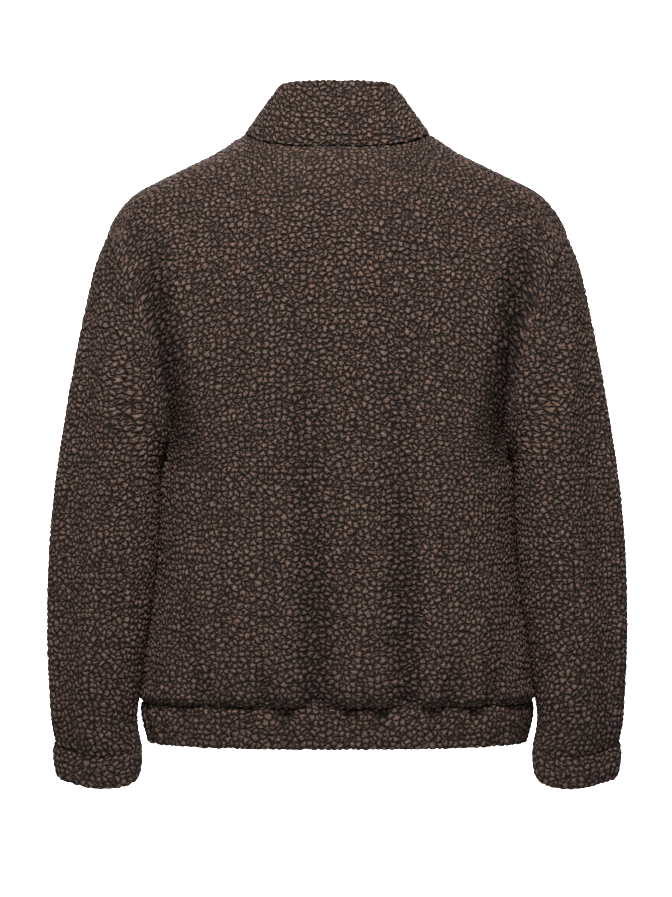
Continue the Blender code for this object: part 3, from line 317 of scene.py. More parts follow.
def body(side, hand, share, rise, folds):
    """Outer face of a body panel. Above the underarm each row runs out to its reach on the sweep and is then
    drawn to the armhole by a power of its share; the folds push it in."""
    share, rise = np.broadcast_arrays(np.asarray(share, float), np.asarray(rise, float))
    up = np.clip(rise - 1.0, 0.0, 1.0)
    reach = spline(SWEEP_REACH[:, 0], SWEEP_REACH[:, 1 if side > 0 else 2], up)
    below = 180.0 * (1.0 - up) ** ARMHOLE_EASE
    seam = armhole(below if side > 0 else 360.0 - below)
    high = high_body(side, share * reach, up)
    high = high + (seam - high_body(side, reach, up)) * (share ** DRAW_POWER)[..., None]
    point = np.where((rise > 1.0)[..., None], high, low_body(side, share, np.clip(rise, 0.0, 1.0)))
    point = point * np.array([hand, 1.0, 1.0])
    stop = np.clip((1.0 - share) * FOLD_STOP, 0.0, 1.0)
    point[..., 1] -= side * fold_depth(folds, point[..., 0], point[..., 2]) * stop
    return point


def even(line, first, last, count):
    """Places between first and last that cut the line into equal lengths."""
    at = np.linspace(first, last, 400)
    along = lengths_along(line(at))
    return np.interp(np.linspace(0.0, along[-1], count + 1), along, at)


def normals_of(grid, facing):
    """Unit normals of a grid: the cross product of its differences along rows and columns, times facing."""
    return unit(np.cross(np.gradient(grid, axis=1), np.gradient(grid, axis=0)) * facing)


def add_node(tree, kind, inputs=(), **settings):
    """Node with its settings and inputs; an input is a value or another node's output."""
    node = tree.nodes.new(kind)
    for label, value in settings.items():
        setattr(node, label, value)
    for label, value in inputs:
        if isinstance(value, bpy.types.NodeSocket):
            tree.links.new(value, node.inputs[label])
        else:
            node.inputs[label].default_value = value
    return node


def smooth_step(tree, value, low, high, to_low, to_high):
    """Value eased from to_low, where it is low or less, to to_high, where it is high or more."""
    ends = (("Value", value), ("From Min", low), ("From Max", high), ("To Min", to_low),
            ("To Max", to_high))
    return add_node(tree, "ShaderNodeMapRange", ends, interpolation_type="SMOOTHSTEP").outputs["Result"]


def math_node(tree, operation, first, second):
    ends = ((0, first), (1, second))
    return add_node(tree, "ShaderNodeMath", ends, operation=operation).outputs[0]


def times(tree, first, second):
    return math_node(tree, "MULTIPLY", first, second)


def vector_node(tree, operation, first, second, label=1):
    ends = ((0, first), (label, second))
    return add_node(tree, "ShaderNodeVectorMath", ends, operation=operation).outputs[0]


def nub_nodes(tree, place):
    """Nubs at a place on the flat cloth, in metres: the cloth is cut into cells round scattered centres, bent
    a little by a noise. A nub rises from its cell's walls in a parabola, is domed round its centre by another
    one, and may have a small hole. Gives its height and three random values of its own."""
    waves, reach = NUB_BEND
    bend = add_node(tree, "ShaderNodeTexNoise", (("Vector", place), ("Scale", waves), ("Detail", 0.0)))
    centred = vector_node(tree, "SUBTRACT", bend.outputs["Color"], (0.5, 0.5, 0.5))
    shift = vector_node(tree, "SCALE", centred, reach, "Scale")
    moved = vector_node(tree, "ADD", vector_node(tree, "MULTIPLY", place, NUBS_EACH_METRE), shift)
    cell = (("Vector", moved), ("Scale", 1.0), ("Randomness", 0.95))
    edge, centre = (add_node(tree, "ShaderNodeTexVoronoi", cell, feature=feature, voronoi_dimensions="2D")
                    for feature in ("DISTANCE_TO_EDGE", "F1"))
    own = add_node(tree, "ShaderNodeSeparateXYZ", ((0, centre.outputs["Color"]),)).outputs
    wall = (("Value", edge.outputs["Distance"]), ("From Max", NUB_WALL))
    steep = add_node(tree, "ShaderNodeMapRange", wall).outputs["Result"]
    dome = times(tree, steep, math_node(tree, "SUBTRACT", 2.0, steep))
    away = centre.outputs["Distance"]
    fall = times(tree, times(tree, away, away), 0.9)
    dome = times(tree, dome, math_node(tree, "SUBTRACT", 1.0, fall))
    bottom, rim, left = NUB_HOLE
    hole = math_node(tree, "MAXIMUM", smooth_step(tree, away, bottom, rim, left, 1.0),
                     math_node(tree, "LESS_THAN", own[2], NUB_WHOLE))
    lift = math_node(tree, "ADD", times(tree, own[0], 1.0 - NUB_LOW), NUB_LOW)
    return times(tree, times(tree, dome, hole), lift), own


def flat_cloth(grid, patch):
    """Places of a grid's points on the flat cloth: their distances along the grid's two sets of lines, from
    its middle column and its foot, in a patch of the cloth of the piece's own."""
    across = border_distance(grid, "first")
    across = across - across[:, across.shape[1] // 2][:, None] + patch * PATCH_APART
    return stack(across, border_distance(grid, "low"), 0.0)


def add_object(name, data):
    made = bpy.data.objects.new(name, data)
    bpy.context.scene.collection.objects.link(made)
    return made


def nub_field(points):
    """Heights of the nubs at places on the flat cloth, in millimetres: the same nodes as in the cloth's
    material, worked out on a mesh of loose points and read back."""
    tree = bpy.data.node_groups.new("nub_heights", "GeometryNodeTree")
    for way in ("INPUT", "OUTPUT"):
        tree.interface.new_socket("Geometry", in_out=way, socket_type="NodeSocketGeometry")
    start, end = tree.nodes.new("NodeGroupInput"), tree.nodes.new("NodeGroupOutput")
    height, _ = nub_nodes(tree, tree.nodes.new("GeometryNodeInputPosition").outputs[0])
    inputs = (("Geometry", start.outputs[0]), ("Name", "height"), ("Value", height))
    stored = add_node(tree, "GeometryNodeStoreNamedAttribute", inputs, data_type="FLOAT", domain="POINT")
    tree.links.new(stored.outputs[0], end.inputs[0])
    mesh = bpy.data.meshes.new("nub_points")
    mesh.vertices.add(points.size // 3)
    mesh.vertices.foreach_set("co", (points * 0.001).astype(np.float32).ravel())
    helper = add_object("nub_points", mesh)
    helper.modifiers.new("heights", "NODES").node_group = tree
    done = helper.evaluated_get(bpy.context.evaluated_depsgraph_get()).data
    values = np.zeros(points.size // 3, np.float32)
    done.attributes["height"].data.foreach_get("value", values)
    bpy.data.objects.remove(helper)
    bpy.data.meshes.remove(mesh)
    bpy.data.node_groups.remove(tree)
    return values.reshape(points.shape[:-1]).astype(float)


def border_distance(grid, side):
    """Distance of every point of a grid from one of its borders, along the grid's own lines."""
    axis = 0 if side in ("low", "high") else 1
    steps = np.linalg.norm(np.diff(grid, axis=axis), axis=-1)
    along = np.insert(np.cumsum(steps, axis=axis), 0, 0.0, axis=axis)
    return along if side in ("low", "first") else along.take([-1], axis) - along


def quarter(distance, wide):
    """Quarter of an ellipse: 1 at the border, 0 from wide on."""
    away = 1.0 - np.clip(distance / wide, 0.0, 1.0)
    return 1.0 - np.sqrt(np.clip(1.0 - away ** 2, 0.0, 1.0))


def pulled_in(grid, sides):
    """Borders of a grid moved inwards by half the seam's gap."""
    moved = grid.copy()
    pairs = {"low": (np.s_[0], np.s_[1]), "high": (np.s_[-1], np.s_[-2]),
             "first": (np.s_[:, 0], np.s_[:, 1]), "last": (np.s_[:, -1], np.s_[:, -2])}
    for side in sides:
        edge, inner = pairs[side]
        moved[edge] += unit(grid[inner] - grid[edge]) * SEAM_HALF_GAP
    return moved


def mesh_piece(name, points, faces, flat, pressed_and_fold_shade, finish):
    """Mesh with its faces outwards. Each point has its place on the flat cloth, and how much darker its
    colour is
    there: pile pressed down at a seam, and painted shade in a trough of the cloth."""
    mesh = bpy.data.meshes.new(name)
    mesh.from_pydata((points * 0.001).tolist(), [], faces)
    places = mesh.attributes.new("flat_place", "FLOAT_VECTOR", "POINT")
    places.data.foreach_set("vector", (flat * 0.001).astype(np.float32).ravel())
    amounts = mesh.attributes.new("pressed_and_fold_shade", "FLOAT", "POINT")
    amounts.data.foreach_set("value", pressed_and_fold_shade.astype(np.float32))
    mesh.shade_smooth()
    mesh.materials.append(finish)
    return add_object(name, mesh)


def quads(index):
    """Faces between neighbouring points of an index grid."""
    corners = [index[:-1, :-1], index[:-1, 1:], index[1:, 1:], index[1:, :-1]]
    return np.stack(corners, axis=-1).reshape(-1, 4)


def index_grid(points):
    """Index of every point of a grid."""
    return np.arange(points[..., 0].size).reshape(points.shape[:-1])


def closed_tube(index, turn):
    """Faces of a tube of rings: the last corner is joined to the first, and both ends are capped."""
    faces = quads(np.concatenate([index, index[:, :1]], axis=1))[:, ::turn].tolist()
    return faces + [index[0, ::-turn].tolist(), index[-1, ::turn].tolist()]


def shell(name, grid, facing, seams, edges, flat, fold_shade=0.0):
    """Closed shell of one layer of cloth. Its outside is the grid, moved by the nubs, by a quarter ellipse
    down to each seam, and by a quarter circle to each free edge; its inside is a coarser grid one thickness
    further in; a strip of triangles joins the two along every border. Seams are given with their depths. The
    depth of a trough of the cloth is added as painted shade, darkening its colour like pressed pile at a
    seam."""
    grid = pulled_in(grid, seams)
    normal = normals_of(grid, facing)
    height = nub_field(flat)
    dip = np.zeros(grid.shape[:2])
    round_off = np.zeros(grid.shape[:2])
    for side, deep in seams.items():
        dip = np.maximum(dip, deep * quarter(border_distance(grid, side), SEAM_WIDE))
    for side in edges:
        round_off = np.maximum(round_off, quarter(border_distance(grid, side), CLOTH / 2.0))
    pushed = PILE * (1.0 - height) * (1.0 - EDGE_BARE * round_off) - PILE_OUT * (1.0 - round_off)
    edge_in = CLOTH * EDGE_IN * round_off
    pushed = pushed * np.clip(1.0 - dip / (2.0 * SEAM_DEEP), 0.0, 1.0) + dip + edge_in
    outside = grid - normal * pushed[..., None]
    depth = np.maximum(CLOTH - SEAM_THIN * dip - edge_in, pushed + LEAST_CLOTH)
    inside = (grid - normal * depth[..., None])[::INSIDE_STEP, ::INSIDE_STEP]
    index = index_grid(grid)
    second = index.size + index_grid(inside)
    outer_faces, inner_faces = quads(index), quads(second)[:, ::-1]
    if facing < 0:
        outer_faces, inner_faces = outer_faces[:, ::-1], inner_faces[:, ::-1]
    faces = outer_faces.tolist() + inner_faces.tolist()
    loops = ((index[0], second[0], 1), (index[-1], second[-1], -1),
             (index[:, 0], second[:, 0], -1), (index[:, -1], second[:, -1], 1))
    half = INSIDE_STEP // 2
    for near, far, turn in loops:
        strip = []
        for k in range(len(far) - 1):
            fine = near[k * INSIDE_STEP:(k + 1) * INSIDE_STEP + 1]
            strip += [[fine[j], far[k], fine[j + 1]] for j in range(half)]
            strip += [[fine[half], far[k], far[k + 1]]]
            strip += [[fine[j], far[k + 1], fine[j + 1]] for j in range(half, INSIDE_STEP)]
        faces += [face[::turn * facing] for face in strip]
    points = np.concatenate([outside.reshape(-1, 3), inside.reshape(-1, 3)])
    # painted shade: a fold trough's depth is added to the seams' pressing and darkens the colour
    pressed_and_fold_shade = np.concatenate([(dip / SEAM_DEEP + fold_shade).ravel(), np.full(second.size, INSIDE_PRESSED)])
    flat = np.concatenate([flat.reshape(-1, 3), flat[::INSIDE_STEP, ::INSIDE_STEP].reshape(-1, 3)])
    return mesh_piece(name, points, faces, flat, pressed_and_fold_shade, BOUCLE)


def declare(piece, node):
    """Ties a cloth piece to its body and hides the node it stands for."""
    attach(piece, "jacket")
    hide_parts(node)


def colour_ramp(tree, value, stops):
    ramp = add_node(tree, "ShaderNodeValToRGB", (("Fac", value),))
    while len(ramp.color_ramp.elements) < len(stops):
        ramp.color_ramp.elements.new(0.5)
    for element, (position, colour) in zip(ramp.color_ramp.elements, stops):
        element.position = position
        element.color = (*colour, 1.0)
    return ramp.outputs["Color"]


def new_material(name):
    """Material, its node tree and its shader."""
    made = bpy.data.materials.new(name)
    made.use_nodes = True
    return made, made.node_tree, made.node_tree.nodes["Principled BSDF"]


def add_bumps(tree, shader, height, strength, distance):
    ends = (("Strength", strength), ("Distance", distance), ("Height", height))
    bump = add_node(tree, "ShaderNodeBump", ends)
    tree.links.new(bump.outputs["Normal"], shader.inputs["Normal"])


def boucle_material():
    """Boucle yarn of a warm brown, with painted shade: the colour darkens with the nubs' height to nearly
    black between them, so their domed tops are lightest; each nub a little lighter, greyer or redder than the
    next, with fine loops of yarn as bumps."""
    made, tree, shader = new_material("boucle")
    place = add_node(tree, "ShaderNodeAttribute", attribute_name="flat_place").outputs["Vector"]
    pressed_and_fold_shade = add_node(tree, "ShaderNodeAttribute", attribute_name="pressed_and_fold_shade").outputs["Fac"]
    height, own = nub_nodes(tree, place)
    # painted shade: pressed pile at seams and the depth of fold troughs darken the colour
    level = math_node(tree, "SUBTRACT", height, times(tree, pressed_and_fold_shade, 0.22))
    # painted shade: the lower a point of the nubs, the darker, down to nearly black in the gaps; domed tops
    # lightest
    colour = colour_ramp(tree, level, (
        (0.0, (0.0034, 0.0019, 0.0014)),
        (0.2, (0.0130, 0.0077, 0.0057)),
        (0.45, (0.0340, 0.0211, 0.0161)),
        (0.7, (0.0560, 0.0357, 0.0280)),
        (1.0, (0.0860, 0.0566, 0.0450)),
    ))
    tint = colour_ramp(tree, own[1], (
        (0.0, (0.80, 0.80, 0.82)),
        (0.5, (1.0, 0.98, 0.97)),
        (1.0, (1.22, 1.13, 1.07)),
    ))
    mixed = vector_node(tree, "MULTIPLY", colour, tint)
    yarn = add_node(tree, "ShaderNodeTexNoise", (("Vector", place), ("Scale", 650.0), ("Detail", 3.0)))
    speckle = smooth_step(tree, yarn.outputs["Fac"], 0.25, 0.75, 0.55, 1.45)
    varied = vector_node(tree, "SCALE", mixed, speckle, "Scale")
    tree.links.new(varied, shader.inputs["Base Color"])
    raised = math_node(tree, "ADD", height, times(tree, yarn.outputs["Fac"], 0.3))
    add_bumps(tree, shader, raised, 1.0, 0.0038)
    shader.inputs["Roughness"].default_value = 0.82
    shader.inputs["Specular IOR Level"].default_value = 0.14
    return made


BOUCLE = boucle_material()


def body_rises(side, low_rows, high_rows):
    """Rows of equal height on the panel's middle: below the underarm, then above it."""
    line = lambda rise: body(side, 1, EVEN_AT[0], rise, BACK_FOLDS[:0])
    return np.concatenate([even(line, 0.0, 1.0, low_rows), even(line, 1.0, 2.0, high_rows)[1:]])


def body_shares(side, columns):
    """Columns of equal width on a row above the underarm."""
    line = lambda share: body(side, 1, share, EVEN_AT[1], BACK_FOLDS[:0])
    return even(line, 0.0, 1.0, columns)


def make_back():
    low_rows, high_rows, columns = BACK_GRID
    high_rows -= (low_rows + high_rows) % INSIDE_STEP
    share, rise = np.meshgrid(body_shares(1, columns // 2), body_rises(1, low_rows, high_rows))
    grids = []
    for folds in (BACK_FOLDS, BACK_FOLDS[:0]):
        left, right = body(1, 1, share, rise, folds), body(1, -1, share, rise, folds)
        grids.append(np.concatenate([right[:, ::-1], left[:, 1:]], axis=1))
    seams = {"low": HEM_SEAM_DEEP, "high": SEAM_DEEP, "first": SEAM_DEEP, "last": SEAM_DEEP}
    # painted shade in the back's fold troughs, from how deep each point lies
    fold_shade = np.maximum(grids[1] - grids[0], 0.0)[..., 1] / FOLD_SHADE_DEEP
    piece = shell("back_cloth", grids[0], -1, seams, [], flat_cloth(grids[1], 0), fold_shade)
    declare(piece, "back")


make_back()


# Fronts
# Two cut panels of the same boucle, mirror images. Each is sewn to the back at its side and shoulder, and its
# middle edge is turned round the zip's tape.
FRONT_FOLDS = np.array([
    # x foot, x head, z foot, z head, depth, half
    [160, 178, -613, -490, 6, 14],
    [112, 120, -613, -440, 6, 15],
    [58, 64, -613, -500, 5.5, 14],
    [-50, -56, -613, -490, 5.5, 14],
    [-98, -110, -613, -400, 6.5, 17],
    [-150, -163, -613, -500, 5.5, 14],
    [183, 190, -315, -150, 8, 19],
    [-183, -190, -315, -150, 8, 19],
])
FRONT_GRID = (144, 168, 138)


def make_front(hand, name):
    low_rows, high_rows, columns = FRONT_GRID
    share, rise = np.meshgrid(body_shares(-1, columns), body_rises(-1, low_rows, high_rows))
    grid = body(-1, hand, share, rise, FRONT_FOLDS)
    flat = flat_cloth(body(-1, hand, share, rise, FRONT_FOLDS[:0]), 2 + hand)
    seams = {"low": HEM_SEAM_DEEP, "high": SEAM_DEEP, "last": SEAM_DEEP}
    piece = shell(name + "_cloth", grid, hand, seams, ["first"], flat)
    declare(piece, name)


make_front(1, "front_left")
make_front(-1, "front_right")


# Sleeves
# Each sleeve is cut in two pieces, a wide outer one and an under one, sewn down its back and its inner front,
# and set into the armhole. It hangs filled out, with a soft ridge down its back where it folds at the elbow.
SLEEVE_RINGS = np.array([
    # t,   out x, out z,  in x,  in z,   mid y, depth, tilt, ridge turn, ridge
    [1, 267, -134, 183, -334.5, 3, 84, 0, 48, 5],
    [2, 277.5, -180, 188, -343, 5.5, 77, 0, 66, 8],
    [3, 287.5, -232, 193.6, -361, 10, 72, 0, 80, 10],
    [4, 297, -288, 194.8, -388, 14, 68, 1, 86, 10],
    [5, 306, -346, 195.8, -424, 17, 65, 2, 88, 9],
    [6, 312.5, -400, 198, -458, 19, 62, 4, 88, 8.5],
    [7, 316.5, -455, 201.6, -494, 19, 59, 6, 86, 8],
    [8, 318.2, -510, 206.8, -532, 17, 56, 9, 84, 7],
    [9, 318, -562, 212.3, -572, 13, 52, 12, 82, 5.5],
    [10, 316.5, -603, 217, -606, 6, 48, 16, 80, 3],
    [11, 314.5, -637, 219.5, -637, -2, 43.5, 20, 80, 1.5],
    [11.6, 310.8, -656, 217, -656, -7, 39, 23, 80, 0.5],
])
SLEEVE_SECTION = np.array([
    # turn,  across, depth
    [0, 1, 0],
    [28, 0.915, 0.35],
    [55, 0.62, 0.62],
    [82, 0.11, 0.95],
    [108, -0.38, 0.975],
    [135, -0.76, 0.755],
    [158, -0.95, 0.415],
    [180, -1, 0],
    [206, -0.93, -0.44],
    [236, -0.61, -0.84],
    [270, 0, -1],
    [304, 0.61, -0.83],
    [333, 0.92, -0.43],
    [360, 1, 0],
])
RIDGE_HALF = 15.0
HOLLOW = (0.8, 38.0, 1.4)  # depth as a share of the ridge, turns before it, width in ridge halves
BACK_SEAM_TURN = 90.0
FRONT_SEAM_TURN = 285.0
INMOST_TURN = 190.0
EVEN_TURN = 20.0  # rows stand at even distances on this turn's line
SLEEVE_ROWS = 288
SLEEVE_COLUMNS = (120, 138)  # outer piece, under piece


def ring_of(row, turn):
    """Ring of the table: the section's table stretched between the ring's outer and inner edge and to its
    depth, tilted, with a bell-shaped ridge and a hollow beside it."""
    out_x, out_z, in_x, in_z, mid_y, depth, tilt, ridge_turn, ridge = row[1:]
    across, deep = table(SLEEVE_SECTION, turn)
    raised = np.exp(-((turn - ridge_turn) / RIDGE_HALF) ** 2)
    hollow_deep, hollow_before, hollow_wide = HOLLOW
    away = (turn - ridge_turn + hollow_before) / RIDGE_HALF / hollow_wide
    raised = raised - hollow_deep * np.exp(-away ** 2)
    grow = 1.0 + raised * ridge / depth
    middle = np.array([(out_x + in_x) / 2.0, mid_y, (out_z + in_z) / 2.0])
    wide = np.array([(out_x - in_x) / 2.0, 0.0, (out_z - in_z) / 2.0])
    back = np.array([0.0, math.cos(math.radians(tilt)), -math.sin(math.radians(tilt))]) * depth
    return middle + (across * grow)[..., None] * wide + (deep * grow)[..., None] * back


def tube(rows, first, turns, steps):
    """Grid of a tube: along each turn a cubic spline runs through that turn's point on every ring."""
    turns = turns % 360.0
    rings = ([] if first is None else [first(turns)]) + [ring_of(row, turns) for row in rows]
    knots = rows[:, 0] if first is None else np.concatenate([[0.0], rows[:, 0]])
    return spline(knots, np.stack(rings).reshape(len(knots), -1), steps).reshape(len(steps), len(turns), 3)


def flat_tube(grid, outmost, inmost, patch):
    """Places of a tube's points on the flat cloth, unrolled: their heights, and their level distances from
    the outmost column, both ways round to the inmost one."""
    across = border_distance(grid * np.array([1.0, 1.0, 0.0]), "first")
    start = across[:, outmost][:, None]
    other_way = np.arange(grid.shape[1]) > inmost
    across = np.where(other_way, across - across[:, -1:] - start, across - start)
    return stack(across + patch * PATCH_APART, grid[..., 2], 0.0)


def make_sleeve(hand, side_name):
    line = lambda t: tube(SLEEVE_RINGS, armhole, np.array([EVEN_TURN]), t)[:, 0]
    steps = even(line, 0.0, SLEEVE_RINGS[-1, 0], SLEEVE_ROWS)
    outer_turns = np.linspace(FRONT_SEAM_TURN - 360.0, BACK_SEAM_TURN, SLEEVE_COLUMNS[0] + 1)
    under_turns = np.linspace(BACK_SEAM_TURN, FRONT_SEAM_TURN, SLEEVE_COLUMNS[1] + 1)
    turns = np.concatenate([outer_turns, under_turns[1:]])
    whole = tube(SLEEVE_RINGS, armhole, turns, steps) * np.array([hand, 1.0, 1.0])
    outmost, inmost = (int(np.argmin(np.abs(turns - turn))) for turn in (0.0, INMOST_TURN))
    places = flat_tube(whole, outmost, inmost, 6 + hand)
    outer, under = np.s_[:, :SLEEVE_COLUMNS[0] + 1], np.s_[:, SLEEVE_COLUMNS[0]:]
    cuts = (("sleeve_outer_", outer, (0.26, 0.62), 0.095),
            ("sleeve_under_", under, (0.24, 0.50), 0.08))
    seams = {"low": SEAM_DEEP, "high": SEAM_DEEP, "first": LONG_SEAM_DEEP, "last": LONG_SEAM_DEEP}
    for name, part, flat, area in cuts:
        node = name + side_name
        piece = shell(node + "_cloth", whole[part], -hand, seams, [], places[part])
        declare(piece, node)


make_sleeve(1, "left")
make_sleeve(-1, "right")


# Cuffs
# A band of doubled boucle folded at the wrist and sewn to the end of each sleeve. Its lower edge is the fold,
# so it is thick and round.
CUFF_RINGS = np.array([
    # t,   out x, out z,  in x,  in z,   mid y, depth, tilt, ridge turn, ridge
    [0, 311, -653.8, 216.8, -653.8, -6.4, 38.5, 23, 80, 0.2],
    [0.3, 313.5, -665.5, 215.2, -665.5, -9.5, 39.8, 23, 80, 0],
    [0.7, 313.2, -681.5, 215.4, -681.5, -13.5, 39.3, 23, 80, 0],
    [1, 310.8, -694, 217.4, -694, -17, 37.8, 23, 80, 0],
])
DOUBLE = 6.5
FOLD_ROWS = 6  # rows round the fold of a doubled band
FOOT_HIGH = 20.0  # a band that is thinner at its seam is whole this far from it
BAND_SEAM = 0.8  # share of a panel's dip that a band has at its seam
END_BARE = 0.7  # how much lower the nubs are at open ends
CUFF_GRID = (20, 152)


def normals_round(grid, facing, closed):
    """Normals of a grid; if it is closed, its last column stands on its first."""
    if not closed:
        return normals_of(grid, facing)
    wrapped = np.concatenate([grid[:, -2:-1], grid, grid[:, 1:2]], axis=1)
    return normals_of(wrapped, facing)[:, 1:-1]


def doubled(name, grid, facing, closed, patch, foot=DOUBLE):
    """Band of doubled cloth. The grid runs from its seam to its fold: the section goes up the outside, round
    the fold in a half circle and down the inside, and a strip closes it at the seam. At open ends the section
    thins to its middle line by a quarter circle. The nubs push it in all round."""
    normal = normals_round(grid, facing, closed)
    up = unit(grid[-1] - grid[-2])
    height = border_distance(grid, "high")
    keep = height[:, height.shape[1] // 2] > DOUBLE / 2.0
    rows = int(keep.sum())
    from_seam = border_distance(grid, "low")[:rows]
    share = np.clip(from_seam / FOOT_HIGH, 0.0, 1.0)
    thick = (foot + (DOUBLE - foot) * share ** 2 * (3.0 - 2.0 * share))[..., None]
    seam = quarter(from_seam, SEAM_WIDE)
    out_side = grid[:rows] - normal[:rows] * seam[..., None] * SEAM_DEEP * BAND_SEAM
    in_side = (grid[:rows] - normal[:rows] * thick)[::-1]
    centre = grid[-1] - up * DOUBLE / 2.0 - normal[-1] * DOUBLE / 2.0
    angles = np.linspace(0.0, np.pi, FOLD_ROWS + 2)[1:-1, None, None]
    fold = centre + (normal[-1] * np.cos(angles) + up * np.sin(angles)) * DOUBLE / 2.0
    section = np.concatenate([out_side, fold, in_side])
    if not closed:
        middle = np.concatenate([(out_side + in_side[::-1]) / 2.0,
                                 np.repeat(centre[None], FOLD_ROWS, axis=0),
                                 (out_side[::-1] + in_side) / 2.0])
        for side in ("first", "last"):
            near = np.clip(border_distance(grid, side)[rows // 2] / (DOUBLE / 2.0), 0.0, 0.97)
            kept = np.sqrt(1.0 - (1.0 - near) ** 2)[None, :, None]
            section = middle + (section - middle) * kept
    around = np.concatenate([section[-1:], section, section[:1]])
    out = normals_round(around, facing, closed)[1:-1]
    flat = flat_cloth(section, patch)
    depth = PILE * (1.0 - nub_field(flat)) - PILE_OUT
    if not closed:
        for side in ("first", "last"):
            depth = depth * (1.0 - END_BARE * quarter(border_distance(section, side), DOUBLE / 2.0))
    points = section - out * depth[..., None]
    if closed:
        points = points[:, :-1]
    index = index_grid(points)
    looped = np.concatenate([index, index[:1]])
    if closed:
        looped = np.concatenate([looped, looped[:, :1]], axis=1)
    faces = quads(looped)
    faces = (faces[:, ::-1] if facing < 0 else faces).tolist()
    if not closed:
        caps = [index[:, 0].tolist(), index[::-1, -1].tolist()]
        faces += [cap[::facing] for cap in caps]
    pressed_and_fold_shade = np.zeros(section.shape[:2])
    pressed_and_fold_shade[:rows] = seam
    columns = points.shape[1]
    flat, pressed_and_fold_shade = flat[:, :columns].reshape(-1, 3), pressed_and_fold_shade[:, :columns].ravel()
    return mesh_piece(name, points.reshape(-1, 3), faces, flat, pressed_and_fold_shade, BOUCLE)


def make_cuff(hand, side_name):
    rows, columns = CUFF_GRID
    turns = np.linspace(180.0, 540.0, columns + 1)
    grid = tube(CUFF_RINGS, None, turns, np.linspace(0.0, 1.0, rows + 1))
    grid = pulled_in(grid * np.array([hand, 1.0, 1.0]), ["low"])
    node = "cuff_" + side_name
    piece = doubled(node + "_cloth", grid, -hand, True, 14 + hand)
    declare(piece, node)


make_cuff(1, "left")
make_cuff(-1, "right")


# Hem band
# Three lengths of doubled boucle, joined at the sides, with elastic inside. The elastic draws the body's hem
# together, so the band lies in shallow upright ripples and the body blouses over it.
BAND_MIDDLE_Y = -20.0
BAND_BOTTOM_Z = -658.0
BAND_RINGS = np.array([
    # z,     half,  back,  front
    [-658, 208.6, 125.5, 94.5],
    [-640, 213, 129.2, 97.6],
    [-622, 216.2, 132.2, 99.4],
    [-613.5, 215.2, 131.6, 98.8],
])
BAND_SEAM_TURN = 70.0
RIPPLE = 1.5
RIPPLES_ROUND = 30
RIPPLES_STOP = (172.0, 8.0)  # the turn at which they end, and over how many degrees
BAND_ROWS = 24
BAND_UNDER = 0.04  # share of the band's height that is tucked under the body's hem


def band(turn, rise):
    """Hem band, rise 0 at its fold and 1 at its seam: a superellipse ring at each height, which swells and
    shrinks with a sine of the turn whose own pace wavers."""
    angle, away = np.radians(turn), np.abs(turn)
    z = BAND_BOTTOM_Z + (HEM_Z - BAND_BOTTOM_Z) * rise
    half, back, front = table(BAND_RINGS, z)
    wave = RIPPLE * np.sin(angle * RIPPLES_ROUND + 1.3 * np.sin(angle * 5.0 + 0.7))
    stop, over = RIPPLES_STOP
    wave = wave * (0.75 + 0.25 * np.sin(angle * 7.0)) * np.clip((stop - away) / over, 0.0, 1.0)
    x, y = ring_point(away, half + wave, back + wave, front + wave, BAND_MIDDLE_Y, BODY_POWER)
    return stack(np.sign(turn) * x, y, z)


def make_band():
    last = edge_turn(BAND_RINGS[-1, 1])
    parts = (
        # name, first and last turn, columns, width of the cut, sewn borders, column at the zip
        ("hem_band_back", -BAND_SEAM_TURN, BAND_SEAM_TURN, 248, 0.48, ["low", "first", "last"], None),
        ("hem_band_left", BAND_SEAM_TURN, last, 144, 0.30, ["low", "first"], -1),
        ("hem_band_right", -last, -BAND_SEAM_TURN, 144, 0.30, ["low", "last"], 0),
    )
    rises = np.linspace(1.0 + BAND_UNDER, 0.0, BAND_ROWS + 1)
    for patch, (name, first, stop, columns, wide, seams, zip_column) in enumerate(parts):
        turn, rise = np.meshgrid(np.linspace(first, stop, columns + 1), rises)
        grid = pulled_in(band(turn, rise), seams)
        if zip_column is not None:
            grid[:, zip_column, 0] = FRONT_EDGE_X if zip_column else -FRONT_EDGE_X
        piece = doubled(name + "_cloth", grid, 1, False, 18 + patch)
        declare(piece, name)


make_band()


# Collar
# A stand collar of doubled boucle, folded at its top edge and sewn into the neck. It leans in to the neck and
# stands up by its own stiffness, and the zip runs to its top.
COLLAR_TOP = (64.5, 57.0, 62.0, -10.0, 2.5)  # half, depth to the back and front, middle y, power
COLLAR_TOP_HEIGHTS = np.array([
    # turn, z
    [0, 68],
    [45, 68],
    [70, 66],
    [90, 60],
    [115, 51],
    [140, 38],
    [165, 29],
    [180, 27],
])
COLLAR_BULGE = 1.5
COLLAR_GRID = (42, 232)


def collar(turn, rise):
    """Collar: straight lines from the neck seam to a superellipse at its top, bulged by a parabola."""
    away = np.abs(turn)
    x, y = ring_point(away, *COLLAR_TOP)
    foot = neck_seam(away)
    head = stack(x, y, spline(COLLAR_TOP_HEIGHTS[:, 0], COLLAR_TOP_HEIGHTS[:, 1], away))
    point = foot + (head - foot) * rise[..., None]
    across, depth = ring_point(away, 1.0, 1.0, 1.0, 0.0, NECK_POWER)
    bulge = COLLAR_BULGE * 4.0 * rise * (1.0 - rise)
    point = point + stack(across * bulge, depth * bulge, 0.0 * bulge)
    return point * stack(np.where(turn < 0.0, -1.0, 1.0), 1.0, 1.0)


